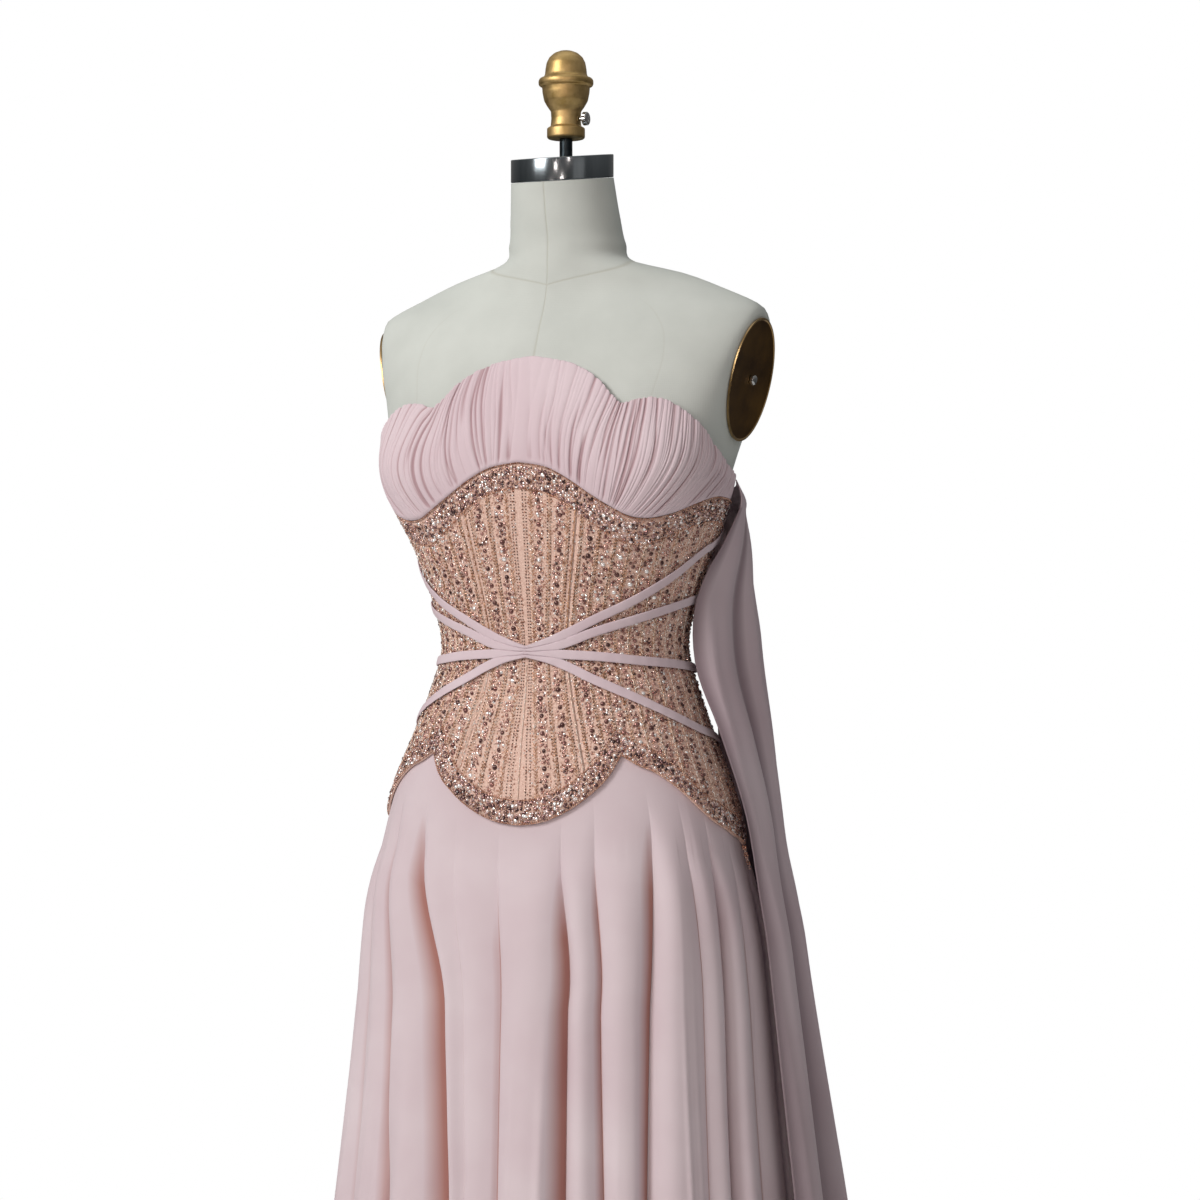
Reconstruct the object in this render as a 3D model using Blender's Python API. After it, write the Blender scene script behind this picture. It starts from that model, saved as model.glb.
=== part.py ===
"""A-line evening gown on a limbless dress form, standing on a round base.

Metres, +Z up, front of the gown towards -Y, the wearer's left towards +X.
The origin is the centre of the base's underside, on the floor.

Every cloth piece is a thin wall built on the same figure. A point of the
figure has an angle round the body (0 at centre front, positive towards the
wearer's left, 180 at centre back) and a height. Pieces that lie over others
are the same points moved further out.
"""

import math

import bmesh
import bpy
import numpy as np

# ---------------------------------------------------------------- driving sizes
SEAM_GAP = 0.0003           # air between two pieces that meet
CURVED_GAP = 0.0009         # air along the curved seam under the bust, at its widest
SIDE_SEAM = 95.0            # degrees from centre front to the side seams
PRINCESS = 17.0             # degrees from centre front to the princess seams
HEM_HEIGHT = 0.012          # gown's lower edge above the floor

# Dress form: horizontal sections of the figure, bottom to top.
BODY_COLUMNS = ("height", "half_width", "front", "back", "front_square", "back_square", "set_back")
BODY_SECTIONS = (
    (0.780, 0.1700, 0.1140, 0.130, 2.50, 2.0, 0.000),
    (0.880, 0.1800, 0.1125, 0.130, 2.70, 2.0, 0.000),
    (0.940, 0.1650, 0.1085, 0.120, 2.80, 2.0, 0.000),
    (0.985, 0.1475, 0.1010, 0.107, 2.60, 2.0, 0.000),
    (1.030, 0.1325, 0.0915, 0.093, 2.30, 2.0, 0.000),
    (1.070, 0.1210, 0.0885, 0.086, 2.20, 2.0, 0.000),
    (1.120, 0.1295, 0.0945, 0.090, 2.30, 2.0, 0.000),
    (1.165, 0.1445, 0.1020, 0.096, 2.40, 2.0, 0.000),
    (1.210, 0.1615, 0.1075, 0.102, 2.40, 2.1, 0.000),
    (1.240, 0.1690, 0.1090, 0.105, 2.40, 2.2, 0.000),
    (1.280, 0.1780, 0.1080, 0.110, 2.50, 2.6, 0.002),
    (1.320, 0.1920, 0.1030, 0.107, 2.60, 2.8, 0.009),
    (1.360, 0.2080, 0.0910, 0.095, 2.40, 2.6, 0.013),
    (1.390, 0.2120, 0.0770, 0.081, 2.00, 2.2, 0.013),
    (1.407, 0.2040, 0.0680, 0.071, 1.70, 1.9, 0.013),
    (1.427, 0.1630, 0.0600, 0.062, 1.40, 1.6, 0.012),
    (1.443, 0.1220, 0.0560, 0.056, 1.45, 1.6, 0.010),
    (1.457, 0.0700, 0.0520, 0.054, 1.80, 1.8, 0.006),
    (1.475, 0.0600, 0.0480, 0.052, 2.00, 2.0, 0.003),
    (1.500, 0.0560, 0.0480, 0.049, 2.00, 2.0, -0.002),
    (1.538, 0.0520, 0.0470, 0.046, 2.00, 2.0, -0.009),
)

# Bust cups: a soft swelling on each side of centre front.
CUP_ANGLE = 45.0
CUP_SPREAD = 25.0
CUP_HEIGHT = 1.243
CUP_REACH = 0.050
CUP_DEPTH = 0.021

# Flat sides where the arms are left off, and their oval plates.
PLATE_CENTRE = (0.191, 0.0115, 1.336)
PLATE_LEAN = 0.22           # outwards for each unit of height
PLATE_TURN = 0.12           # outwards for each unit towards the back
PLATE_HALF_DEPTH = 0.042
PLATE_HALF_HEIGHT = 0.060
PLATE_THICKNESS = 0.003
PLATE_BEVEL = 0.0008
PLATE_BEVEL_SHARE = 0.97    # size of the plate's faces inside their bevel
PLATE_SOFT = 0.006          # rounding where the flat side meets the chest
PLATE_FLAT_FROM = 1.262     # height where the flat side begins
BOLT_RADIUS = 0.005
BOLT_HEIGHT = 0.004
BOLT_CHAMFER = 0.7          # radius and height where the bolt's top begins to slope

NECK_TILT = 8.5             # degrees, the neck's top plane leans forwards
NECK_TILT_FROM = 1.460

# Gown edges. Columns: angle from centre front and height, the same on both sides.
NECKLINE = (
    (0, 1.3570), (9, 1.3475), (16, 1.3320), (21, 1.3170), (25, 1.3090), (30, 1.3125), (36, 1.3135),
    (43, 1.3085), (52, 1.2970), (62, 1.2830), (78, 1.2590), (98, 1.2400), (130, 1.2340), (180, 1.2320),
)
BUST_SEAM = (
    (0, 1.2525), (7, 1.2470), (14, 1.2350), (21, 1.2210), (29, 1.2080), (36, 1.2000), (42, 1.1980),
    (52, 1.2020), (64, 1.2120), (80, 1.2200), (98, 1.2180), (130, 1.2080), (180, 1.2040),
)
LOWER_EDGE = (
    (0, 0.9025), (3, 0.9050), (8, 0.9130), (13, 0.9230), (18, 0.9340), (23, 0.9450), (28, 0.9580),
    (32.5, 0.9710), (38, 0.9625), (46, 0.9550), (53, 0.9450), (60, 0.9330), (67, 0.9190), (75, 0.9060),
    (84, 0.8960), (95, 0.8800), (105, 0.8930), (120, 0.9100), (150, 0.9280), (180, 0.9340),
)
LOWER_PEAK = 32.5           # angle of the sharp peak in the lower edge

# Cloth walls: distance of the inner and outer faces from the figure.
SKIRT_INNER = 0.0015
SKIRT_OUTER = 0.0029
CORSET_INNER = 0.0037
CORSET_OUTER = 0.0058
BUST_INNER = 0.0034
BUST_OUTER = 0.0053
RIB_RISE = 0.0007           # rows of large stones stand proud of the mesh
BORDER_RISE = 0.0014        # dense stone borders
BORDER_DEPTH = 0.023
BORDER_STEP = 0.0015        # height in which a border slopes down to the mesh
RIB_STEP = 8.0              # degrees between rows of large stones, front panels
BACK_RIB_STEP = 12.0        # the same on the back panels, under the cape
GATHER_RISE = 0.0011
GATHERS_FRONT = 48
GATHERS_BACK = 8            # on each half of the back
GATHER_DRIFTS = ((0.35, 37.0, 0.0), (0.25, 83.0, 1.0))     # uneven spacing: columns, rate and phase
GATHER_UNEVEN = (0.75, 0.25, 1.7)       # crest heights: least share, swing and rate
GATHER_FULLNESS = (0.55, 0.45)          # share of the rise at the edges, and what the middle adds
SKIRT_TUCK = 0.012          # how far the skirt runs up under the corset

# Skirt: horizontal sections below the hips, outer face before its folds.
SKIRT_COLUMNS = ("height", "half_width", "front", "back")
SKIRT_SECTIONS = (
    (0.012, 0.2920, 0.2280, 0.2550),
    (0.250, 0.2570, 0.1950, 0.2200),
    (0.520, 0.2250, 0.1620, 0.1840),
    (0.640, 0.2130, 0.1480, 0.1680),
    (0.760, 0.2020, 0.1340, 0.1520),
    (0.820, 0.1945, 0.1260, 0.1430),
    (0.848, 0.1900, 0.1215, 0.1390),
    (0.880, 0.1824, 0.1149, 0.1324),
)
FOLD_START = 0.890
FOLD_RISE_HEM = 0.034       # ridge to trough of a full fold at the hem
FOLD_GROWTH = 0.8           # power by which the folds deepen on their way down
HEM_SQUARE = 2.25           # squareness of the skirt's front once it has left the hips
SKIRT_BACK_SQUARE = 2.0
HEM_EASE = 0.15             # height in which it gets there
SKIRT_ROW_SPREAD = 1.35     # above 1, the rows of the mesh crowd towards the hips
# Skirt ridges. Columns: angle, depth as a share of a full fold, half width in degrees.
SKIRT_FOLDS = (
    (-172, 0.9, 8), (-152, 0.6, 7), (-134, 1.0, 8), (-114, 0.7, 7), (-96, 0.8, 7), (-78, 0.6, 6),
    (-61, 0.8, 6), (-47, 0.5, 5), (-33, 0.9, 6), (-17, 0.5, 5), (3, 1.0, 8), (29, 1.0, 7),
    (50, 0.9, 6), (66, 0.5, 5), (82, 0.7, 6), (99, 0.6, 6), (118, 0.9, 8), (138, 0.6, 7), (158, 1.0, 8),
)

# Cape: one free panel sewn to the back's top edge beside the closure, on the wearer's left.
# Its edges are angles from centre front, and edge_draw is how far the front edge is drawn in.
CAPE_COLUMNS = ("height", "half_width", "back", "square", "front_edge", "rear_edge", "edge_draw")
CAPE_SECTIONS = (
    (0.014, 0.3160, 0.2920, 2.3, 76.0, 160.0, 0.000),
    (0.250, 0.2840, 0.2500, 2.4, 75.0, 159.0, 0.000),
    (0.520, 0.2500, 0.2090, 2.5, 75.0, 158.0, 0.000),
    (0.820, 0.2110, 0.1620, 2.6, 77.0, 157.0, 0.001),
    (0.900, 0.2020, 0.1530, 2.8, 79.0, 156.0, 0.004),
    (0.990, 0.1900, 0.1450, 3.1, 84.0, 155.0, 0.020),
    (1.060, 0.1800, 0.1390, 3.2, 89.0, 155.0, 0.036),
    (1.120, 0.1760, 0.1340, 3.1, 91.0, 157.0, 0.032),
    (1.180, 0.1755, 0.1260, 2.6, 94.0, 164.0, 0.012),
    (1.210, 0.1745, 0.1185, 2.3, 96.0, 170.0, 0.003),
)
CAPE_TOP_OFFSET = 0.0068    # inner face at the sewn edge, measured from the figure
CAPE_TOP_DROP = 0.003       # the sewn edge lies just under the top edge of the gown
CAPE_TOP_EDGES = (98.0, 174.0)          # ends of the sewn edge, degrees from centre front
CAPE_WALL = 0.0014
CAPE_FOLDS = 5              # waves between the front edge and the rear edge
CAPE_FOLD_DRIFT = (0.9, 5.0)            # uneven spacing of the waves: size and rate
CAPE_FOLD_RISE = 0.010
CAPE_FOLD_GROWTH = 0.8      # what each metre below 1 m adds to that rise, as a share of it
CAPE_FOLD_START = 0.12      # height below the sewn edge in which the waves reach their full rise
CAPE_DRAW_REACH = 0.39      # share of the panel's width that its front edge draws in
CAPE_ROW_SPREAD = 1.3       # above 1, the rows of the mesh crowd towards the top

# Straps: width, thickness and each one's route from centre front.
STRAP_WIDTH = 0.009
STRAP_THICKNESS = 0.0016
STRAP_LIFT = 0.0008         # air between the straps and the stones below them
STRAP_START = 4.2           # degrees, where the straps leave the knot
STRAP_PINCH = 0.0026        # width of each strap at the knot
STRAP_OPENING = 11.0        # degrees in which a strap widens to its full width
STRAP_STEP_GROWTH = 1.1     # above 1, the sections crowd towards the knot
# Routes of the straps on each side, top to bottom. Columns: angle and height.
STRAP_ROUTES = {
    1: ((4.2, 1.0748), (15, 1.0880), (30, 1.1030), (47, 1.1205), (66, 1.1430), (85, 1.1680), (108, 1.1870)),
    2: ((4.2, 1.0716), (15, 1.0775), (28, 1.0885), (48, 1.1010), (71, 1.1130), (91, 1.1210), (130, 1.1290),
        (177, 1.1320)),
    3: ((4.2, 1.0684), (14, 1.0672), (31, 1.0655), (54, 1.0610), (74, 1.0580), (95, 1.0540), (130, 1.0500),
        (177, 1.0480)),
    4: ((4.2, 1.0652), (13, 1.0570), (28, 1.0425), (45, 1.0260), (65, 1.0080), (99, 0.9850), (135, 0.9760),
        (177, 0.9730)),
}
KNOT_CENTRE = 1.0700
KNOT_HALF_HEIGHT = 0.0072
KNOT_HALF_ANGLE = 3.9
KNOT_RISE = 0.0054
KNOT_ROUND = 0.85           # how far the knot's rise falls off at its top and bottom
KNOT_MESH = (7, 9)          # rows and columns

TAIL_LENGTH = 0.022
TAIL_RADIUS = 0.0026
TAIL_CLEARANCE = 0.0013     # air between the tail and the skirt
TAIL_SWAY = 0.0015
TAIL_PROFILE = ((0.0, 0.7), (0.25, 1.0), (0.8, 0.8), (1.0, 0.4))   # share of length and of radius

# Hardware on the neck.
CAP_BOTTOM = 1.5386
CAP_HEIGHT = 0.0230
CAP_CENTRE_Y = -0.0095
CAP_HALF_WIDTH = 0.0520
CAP_HALF_DEPTH = 0.0470
CAP_RIM = 0.0030
CAP_RECESS = 0.0050
CAP_BEVEL = 0.0008
ROD_RADIUS = 0.0065
FINIAL_BOTTOM = 1.5810
# Finial profile from its collar to its top. Columns: height and radius.
FINIAL_PROFILE = (
    (1.5810, 0.0175), (1.5825, 0.0190), (1.5915, 0.0190), (1.5930, 0.0152), (1.6085, 0.0150),
    (1.6130, 0.0185), (1.6190, 0.0220), (1.6280, 0.0236), (1.6335, 0.0240), (1.6350, 0.0272),
    (1.6385, 0.0275), (1.6425, 0.0228), (1.6450, 0.0208), (1.6560, 0.0196), (1.6630, 0.0160),
    (1.6670, 0.0105), (1.6690, 0.0045),
)
FINIAL_TOP = (1.6695, 0.0008)
SCREW_HEIGHT = 1.6000
SCREW_SHAFT = (0.0153, 0.0192, 0.0020)     # from, to and radius
SCREW_HEAD = (0.0192, 0.0242, 0.0068)
SCREW_BEVEL = 0.0006

# Stand.
POLE_RADIUS = 0.016
STAND_BEVEL = 0.002
BASE_RADIUS = 0.190
BASE_THICKNESS = 0.014
HUB_RADIUS = 0.032
HUB_HEIGHT = 0.050
HUB_FLARE = 0.006

# Mesh fineness.
TORSO_COLUMNS = 32
TORSO_ROWS_BELOW = (0.780, 0.850, 0.900, 0.930, 0.960, 0.995)
TORSO_ROWS_ABOVE = (
    1.145, 1.180, 1.210, 1.240, 1.264, 1.290, 1.320, 1.350, 1.378, 1.396, 1.410, 1.425, 1.437,
    1.448, 1.459, 1.475, 1.505, CAP_BOTTOM - SEAM_GAP,
)
BUST_ROWS = 4
WAIST_ROWS = (1.030, 1.054, 1.078, 1.108)
SKIRT_HALF_COLUMNS = 46
SKIRT_ROWS = 6
CAPE_MESH_COLUMNS = 36
CAPE_ROWS = 9
STRAP_STEP = 9.0            # degrees

MATERIALS = {
    "linen": ((0.62, 0.63, 0.58), 0.85, 0.0),
    "chiffon": ((0.66, 0.47, 0.46), 0.70, 0.0),
    "beaded_mesh": ((0.52, 0.30, 0.24), 0.35, 0.3),
    "steel": ((0.42, 0.43, 0.44), 0.25, 1.0),
    "dark_steel": ((0.06, 0.07, 0.08), 0.35, 1.0),
    "antique_gold": ((0.38, 0.25, 0.10), 0.45, 1.0),
    "bronze": ((0.13, 0.09, 0.05), 0.50, 1.0),
    "painted_iron": ((0.05, 0.05, 0.05), 0.50, 0.0),
}


# ---------------------------------------------------------------- scene helpers
def clear_scene():
    """Remove every object that the file holds."""
    for item in list(bpy.data.objects):
        bpy.data.objects.remove(item, do_unlink=True)


def get_material(name):
    """Return the named material, made once from the table above."""
    material = bpy.data.materials.get(name)
    if material is None:
        colour, roughness, metallic = MATERIALS[name]
        material = bpy.data.materials.new(name)
        material.use_nodes = True
        shader = material.node_tree.nodes["Principled BSDF"]
        shader.inputs["Base Color"].default_value = (*colour, 1.0)
        shader.inputs["Roughness"].default_value = roughness
        shader.inputs["Metallic"].default_value = metallic
    return material


def add_object(name, vertices, faces, material_name, sharp_angle=40.0):
    """Make a named mesh object, with quads split and faces shaded smooth."""
    mesh = bpy.data.meshes.new(name)
    mesh.from_pydata([tuple(map(float, point)) for point in vertices], [], faces)
    mesh.validate()
    work = bmesh.new()
    work.from_mesh(mesh)
    bmesh.ops.recalc_face_normals(work, faces=work.faces)
    bmesh.ops.triangulate(work, faces=work.faces)
    work.to_mesh(mesh)
    work.free()
    mesh.shade_smooth()
    mesh.set_sharp_from_angle(angle=math.radians(sharp_angle))
    mesh.materials.append(get_material(material_name))
    item = bpy.data.objects.new(name, mesh)
    bpy.context.scene.collection.objects.link(item)
    return item


def make_wall(name, inner, outer, material_name):
    """Close two matching grids of points, inner and outer, into one thin wall."""
    rows, columns = outer.shape[:2]
    count = rows * columns
    vertices = np.concatenate([outer.reshape(-1, 3), inner.reshape(-1, 3)])
    faces = []
    for i in range(rows - 1):
        for j in range(columns - 1):
            a = i * columns + j
            b, c, d = a + 1, a + columns + 1, a + columns
            faces.append((a, b, c, d))
            faces.append((count + d, count + c, count + b, count + a))
    rim = [j for j in range(columns)]
    rim += [i * columns + columns - 1 for i in range(1, rows)]
    rim += [(rows - 1) * columns + j for j in range(columns - 2, -1, -1)]
    rim += [i * columns for i in range(rows - 2, 0, -1)]
    for k, a in enumerate(rim):
        b = rim[(k + 1) % len(rim)]
        faces.append((b, a, count + a, count + b))
    return add_object(name, vertices, faces, material_name)


def make_loft(name, sections, material_name, sharp_angle=40.0):
    """Join closed rings of points, one above the next, and cap both ends."""
    sections = np.asarray(sections)
    rows, columns = sections.shape[:2]
    faces = []
    for i in range(rows - 1):
        for j in range(columns):
            k = (j + 1) % columns
            faces.append((i * columns + j, i * columns + k, (i + 1) * columns + k, (i + 1) * columns + j))
    faces.append(tuple(range(columns - 1, -1, -1)))
    faces.append(tuple((rows - 1) * columns + j for j in range(columns)))
    return add_object(name, sections.reshape(-1, 3), faces, material_name, sharp_angle)


def turned_rings(profile, segments, centre=(0.0, 0.0)):
    """Rings of a turned piece whose profile is a list of (height, radius)."""
    turn = np.linspace(0.0, 2.0 * math.pi, segments, endpoint=False)
    rings = []
    for height, radius in profile:
        x = centre[0] + radius * np.cos(turn)
        y = centre[1] + radius * np.sin(turn)
        rings.append(np.stack([x, y, np.full(segments, height)], axis=-1))
    return rings


# ---------------------------------------------------------------- the figure
def smooth_curve(x, table, column):
    """Read one column of a table at x, by a smooth cubic through its rows."""
    table = np.asarray(table, dtype=float)
    knots, values = table[:, 0], table[:, column]
    slopes = np.gradient(values, knots)
    x = np.clip(np.asarray(x, dtype=float), knots[0], knots[-1])
    i = np.clip(np.searchsorted(knots, x) - 1, 0, len(knots) - 2)
    width = knots[i + 1] - knots[i]
    t = (x - knots[i]) / width
    return (
        (1 + 2 * t) * (1 - t) ** 2 * values[i]
        + t * (1 - t) ** 2 * width * slopes[i]
        + t * t * (3 - 2 * t) * values[i + 1]
        + t * t * (t - 1) * width * slopes[i + 1]
    )


def rounded_section(angle, half_width, front, back, front_square, back_square):
    """Point of a rounded section: an ellipse whose corners are filled out."""
    side, ahead = np.sin(angle), np.cos(angle)
    square = np.where(ahead > 0, front_square, back_square)
    depth = np.where(ahead > 0, front, back)
    x = half_width * np.sign(side) * np.abs(side) ** (2.0 / square)
    y = -depth * np.sign(ahead) * np.abs(ahead) ** (2.0 / square)
    return x, y


def soft_limit(distance, limit, softness):
    """Hold a distance under a limit, with a rounded corner where it meets it."""
    over = distance - limit
    rounded = limit - (softness - over) ** 2 / (4.0 * softness)
    result = np.where(over > -softness, rounded, distance)
    return np.where(over > softness, limit, result)


def plate_plane(y, z):
    """How far out the flat side is at a depth and height."""
    return PLATE_CENTRE[0] + PLATE_LEAN * (z - PLATE_CENTRE[2]) + PLATE_TURN * (y - PLATE_CENTRE[1])


def figure(angle_deg, height, offset=0.0):
    """Point of the dressed figure: its section, cups and flat sides, moved out."""
    angle_deg, height = np.broadcast_arrays(np.asarray(angle_deg, float), np.asarray(height, float))
    angle = np.radians(angle_deg)
    values = [smooth_curve(height, BODY_SECTIONS, k) for k in range(1, len(BODY_COLUMNS))]
    half_width, front, back, front_square, back_square, set_back = values
    x, y = rounded_section(
        angle, half_width + offset, front + offset, back + offset, front_square, back_square
    )
    cup = np.zeros_like(angle)
    wrapped = (angle_deg + 180.0) % 360.0 - 180.0
    for side in (-CUP_ANGLE, CUP_ANGLE):
        cup = cup + np.exp(-(((wrapped - side) / CUP_SPREAD) ** 2))
    cup = cup * CUP_DEPTH * np.exp(-(((height - CUP_HEIGHT) / CUP_REACH) ** 2))
    x = x + cup * np.sin(angle)
    y = y - cup * np.cos(angle) + set_back
    limit = np.where(height > PLATE_FLAT_FROM, plate_plane(y, height) + offset, 1.0)
    x = np.sign(x) * soft_limit(np.abs(x), limit, PLATE_SOFT)
    lean = np.clip((height - NECK_TILT_FROM) / (CAP_BOTTOM - NECK_TILT_FROM), 0.0, 1.0)
    z = height + lean * math.tan(math.radians(NECK_TILT)) * (y - CAP_CENTRE_Y)
    return np.stack([x, y, z], axis=-1)


def edge_height(table, angle_deg):
    """Height of a gown edge at an angle, mirrored about centre front."""
    reach = np.abs((np.asarray(angle_deg, float) + 180.0) % 360.0 - 180.0)
    return smooth_curve(reach, table, 1)


def lower_edge(angle_deg):
    """Height of the corset's lower edge, smooth on each side of its sharp peak."""
    reach = np.abs((np.asarray(angle_deg, float) + 180.0) % 360.0 - 180.0)
    inside = [row for row in LOWER_EDGE if row[0] <= LOWER_PEAK]
    outside = [row for row in LOWER_EDGE if row[0] >= LOWER_PEAK]
    tip = [row for row in outside if row[0] <= SIDE_SEAM]
    rear = [row for row in outside if row[0] >= SIDE_SEAM]
    height = smooth_curve(reach, inside, 1)
    height = np.where(reach > LOWER_PEAK, smooth_curve(reach, tip, 1), height)
    return np.where(reach > SIDE_SEAM, smooth_curve(reach, rear, 1), height)


def gap_angle(angle_deg, height, gap=SEAM_GAP):
    """Degrees round the figure that half a seam gap takes."""
    ahead = figure(angle_deg + 0.5, height)
    behind = figure(angle_deg - 0.5, height)
    return 0.5 * gap / float(np.linalg.norm(ahead - behind))


# ---------------------------------------------------------------- dress form
def build_torso():
    """Limbless torso from below the hips to the tilted top of the neck."""
    heights = (*TORSO_ROWS_BELOW, *WAIST_ROWS, *TORSO_ROWS_ABOVE)
    angles = np.linspace(-180.0, 180.0, TORSO_COLUMNS, endpoint=False)
    sections = [figure(angles, height) for height in heights]
    return make_loft("form_torso", sections, "linen", 50.0)


def tilt_forward(points):
    """Lean points of the neck cap forwards about its lower plane."""
    slope = math.tan(math.radians(NECK_TILT))
    tilted = np.array(points, dtype=float)
    tilted[..., 2] += slope * (tilted[..., 1] - CAP_CENTRE_Y)
    return tilted


def build_neck_cap():
    """Steel oval band on the neck, with a recess in its top."""
    turn = np.linspace(0.0, 2.0 * math.pi, 36, endpoint=False)
    top = CAP_BOTTOM + CAP_HEIGHT
    profile = (
        (CAP_BOTTOM, -CAP_BEVEL), (CAP_BOTTOM + CAP_BEVEL, 0.0), (top - CAP_BEVEL, 0.0), (top, -CAP_BEVEL),
        (top, -CAP_RIM), (top - CAP_RECESS, -CAP_RIM - CAP_BEVEL),
    )
    rings = []
    for height, grow in profile:
        x = (CAP_HALF_WIDTH + grow) * np.cos(turn)
        y = CAP_CENTRE_Y + (CAP_HALF_DEPTH + grow) * np.sin(turn)
        rings.append(tilt_forward(np.stack([x, y, np.full(len(turn), height)], axis=-1)))
    return make_loft("neck_cap", rings, "steel", 30.0)


def build_finial():
    """Turned finial, its rod and the set screw in its neck."""
    make_loft("finial", turned_rings((*FINIAL_PROFILE, FINIAL_TOP), 24), "antique_gold", 35.0)
    recess = CAP_BOTTOM + CAP_HEIGHT - CAP_RECESS - math.tan(math.radians(NECK_TILT)) * CAP_CENTRE_Y
    slope = math.tan(math.radians(NECK_TILT))
    rings = turned_rings(((recess, ROD_RADIUS), (FINIAL_BOTTOM - SEAM_GAP, ROD_RADIUS)), 16)
    rings[0][:, 2] += slope * rings[0][:, 1] + SEAM_GAP
    make_loft("finial_rod", rings, "dark_steel", 30.0)
    shaft_from, shaft_to, shaft_radius = SCREW_SHAFT
    head_from, head_to, head_radius = SCREW_HEAD
    profile = (
        (shaft_from, shaft_radius), (shaft_to, shaft_radius), (head_from, head_radius - SCREW_BEVEL),
        (head_from + SCREW_BEVEL, head_radius), (head_to - 2 * SCREW_BEVEL, head_radius),
        (head_to, head_radius - 2 * SCREW_BEVEL),
    )
    screw = np.asarray(turned_rings(profile, 16))
    sideways = np.stack([screw[..., 2], screw[..., 0], SCREW_HEIGHT + screw[..., 1]], axis=-1)
    make_loft("finial_screw", sideways, "steel", 30.0)


def build_arm_plate(side, word):
    """Oval plate on one flat side, with the bolt at its centre."""
    normal = np.array([1.0, -PLATE_TURN, -PLATE_LEAN])
    normal /= np.linalg.norm(normal)
    turn = np.linspace(0.0, 2.0 * math.pi, 28, endpoint=False)
    across = np.cos(turn) * PLATE_HALF_DEPTH
    up = np.sin(turn) * PLATE_HALF_HEIGHT

    def ring(scale, lift):
        y = PLATE_CENTRE[1] + across * scale
        z = PLATE_CENTRE[2] + up * scale
        points = np.stack([plate_plane(y, z), y, z], axis=-1) + normal * lift
        points[:, 0] *= side
        return points

    rings = [
        ring(PLATE_BEVEL_SHARE, SEAM_GAP), ring(1.0, SEAM_GAP + PLATE_BEVEL),
        ring(1.0, PLATE_THICKNESS - PLATE_BEVEL), ring(PLATE_BEVEL_SHARE, PLATE_THICKNESS),
    ]
    make_loft("arm_plate_" + word, rings, "bronze", 30.0)
    middle = np.array(PLATE_CENTRE) + normal * (PLATE_THICKNESS + SEAM_GAP)
    turn = np.linspace(0.0, 2.0 * math.pi, 14, endpoint=False)
    along = np.cross(normal, (0.0, 0.0, 1.0))
    along /= np.linalg.norm(along)
    upward = np.cross(along, normal)
    profile = (
        (BOLT_RADIUS, 0.0), (BOLT_RADIUS, BOLT_HEIGHT * BOLT_CHAMFER),
        (BOLT_RADIUS * BOLT_CHAMFER, BOLT_HEIGHT),
    )
    rings = []
    for radius, lift in profile:
        points = middle + normal * lift + radius * (
            np.cos(turn)[:, None] * along + np.sin(turn)[:, None] * upward
        )
        points[:, 0] *= side
        rings.append(points)
    make_loft("arm_bolt_" + word, rings, "steel", 30.0)


def build_stand():
    """Round base with a hub, and the pole that carries the torso."""
    profile = (
        (0.0, BASE_RADIUS), (BASE_THICKNESS - STAND_BEVEL, BASE_RADIUS),
        (BASE_THICKNESS, BASE_RADIUS - 2 * STAND_BEVEL), (BASE_THICKNESS, HUB_RADIUS + HUB_FLARE),
        (BASE_THICKNESS + HUB_FLARE, HUB_RADIUS), (HUB_HEIGHT, HUB_RADIUS - STAND_BEVEL),
    )
    make_loft("stand_base", turned_rings(profile, 40), "painted_iron", 30.0)
    pole = ((HUB_HEIGHT + SEAM_GAP, POLE_RADIUS), (TORSO_ROWS_BELOW[0] - SEAM_GAP, POLE_RADIUS))
    make_loft("stand_pole", turned_rings(pole, 20), "steel", 30.0)


# ---------------------------------------------------------------- bodice
def build_bust(name, start, end, gathers):
    """Gathered bust piece between two angles; crests and troughs alternate."""
    columns = 2 * gathers + 1
    share = np.linspace(0.0, 1.0, columns)
    drift = sum(size * np.sin(share * rate + phase) for size, rate, phase in GATHER_DRIFTS)
    angles = start + (end - start) * (share + drift * np.sin(share * math.pi) / columns)
    crest = np.where(np.arange(columns) % 2 == 1, 1.0, 0.0)
    least, swing, rate = GATHER_UNEVEN
    crest *= least + swing * np.sin(np.arange(columns) * rate)
    low = edge_height(BUST_SEAM, angles) + CURVED_GAP / 2
    high = edge_height(NECKLINE, angles)
    inner, outer = [], []
    for share_up in np.linspace(0.0, 1.0, BUST_ROWS + 1):
        height = low + (high - low) * share_up
        fullness = GATHER_FULLNESS[0] + GATHER_FULLNESS[1] * math.sin(math.pi * share_up)
        rise = GATHER_RISE * crest * fullness
        inner.append(figure(angles, height, BUST_INNER))
        outer.append(figure(angles, height, BUST_OUTER + rise))
    return make_wall(name, np.array(inner), np.array(outer), "chiffon")


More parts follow.
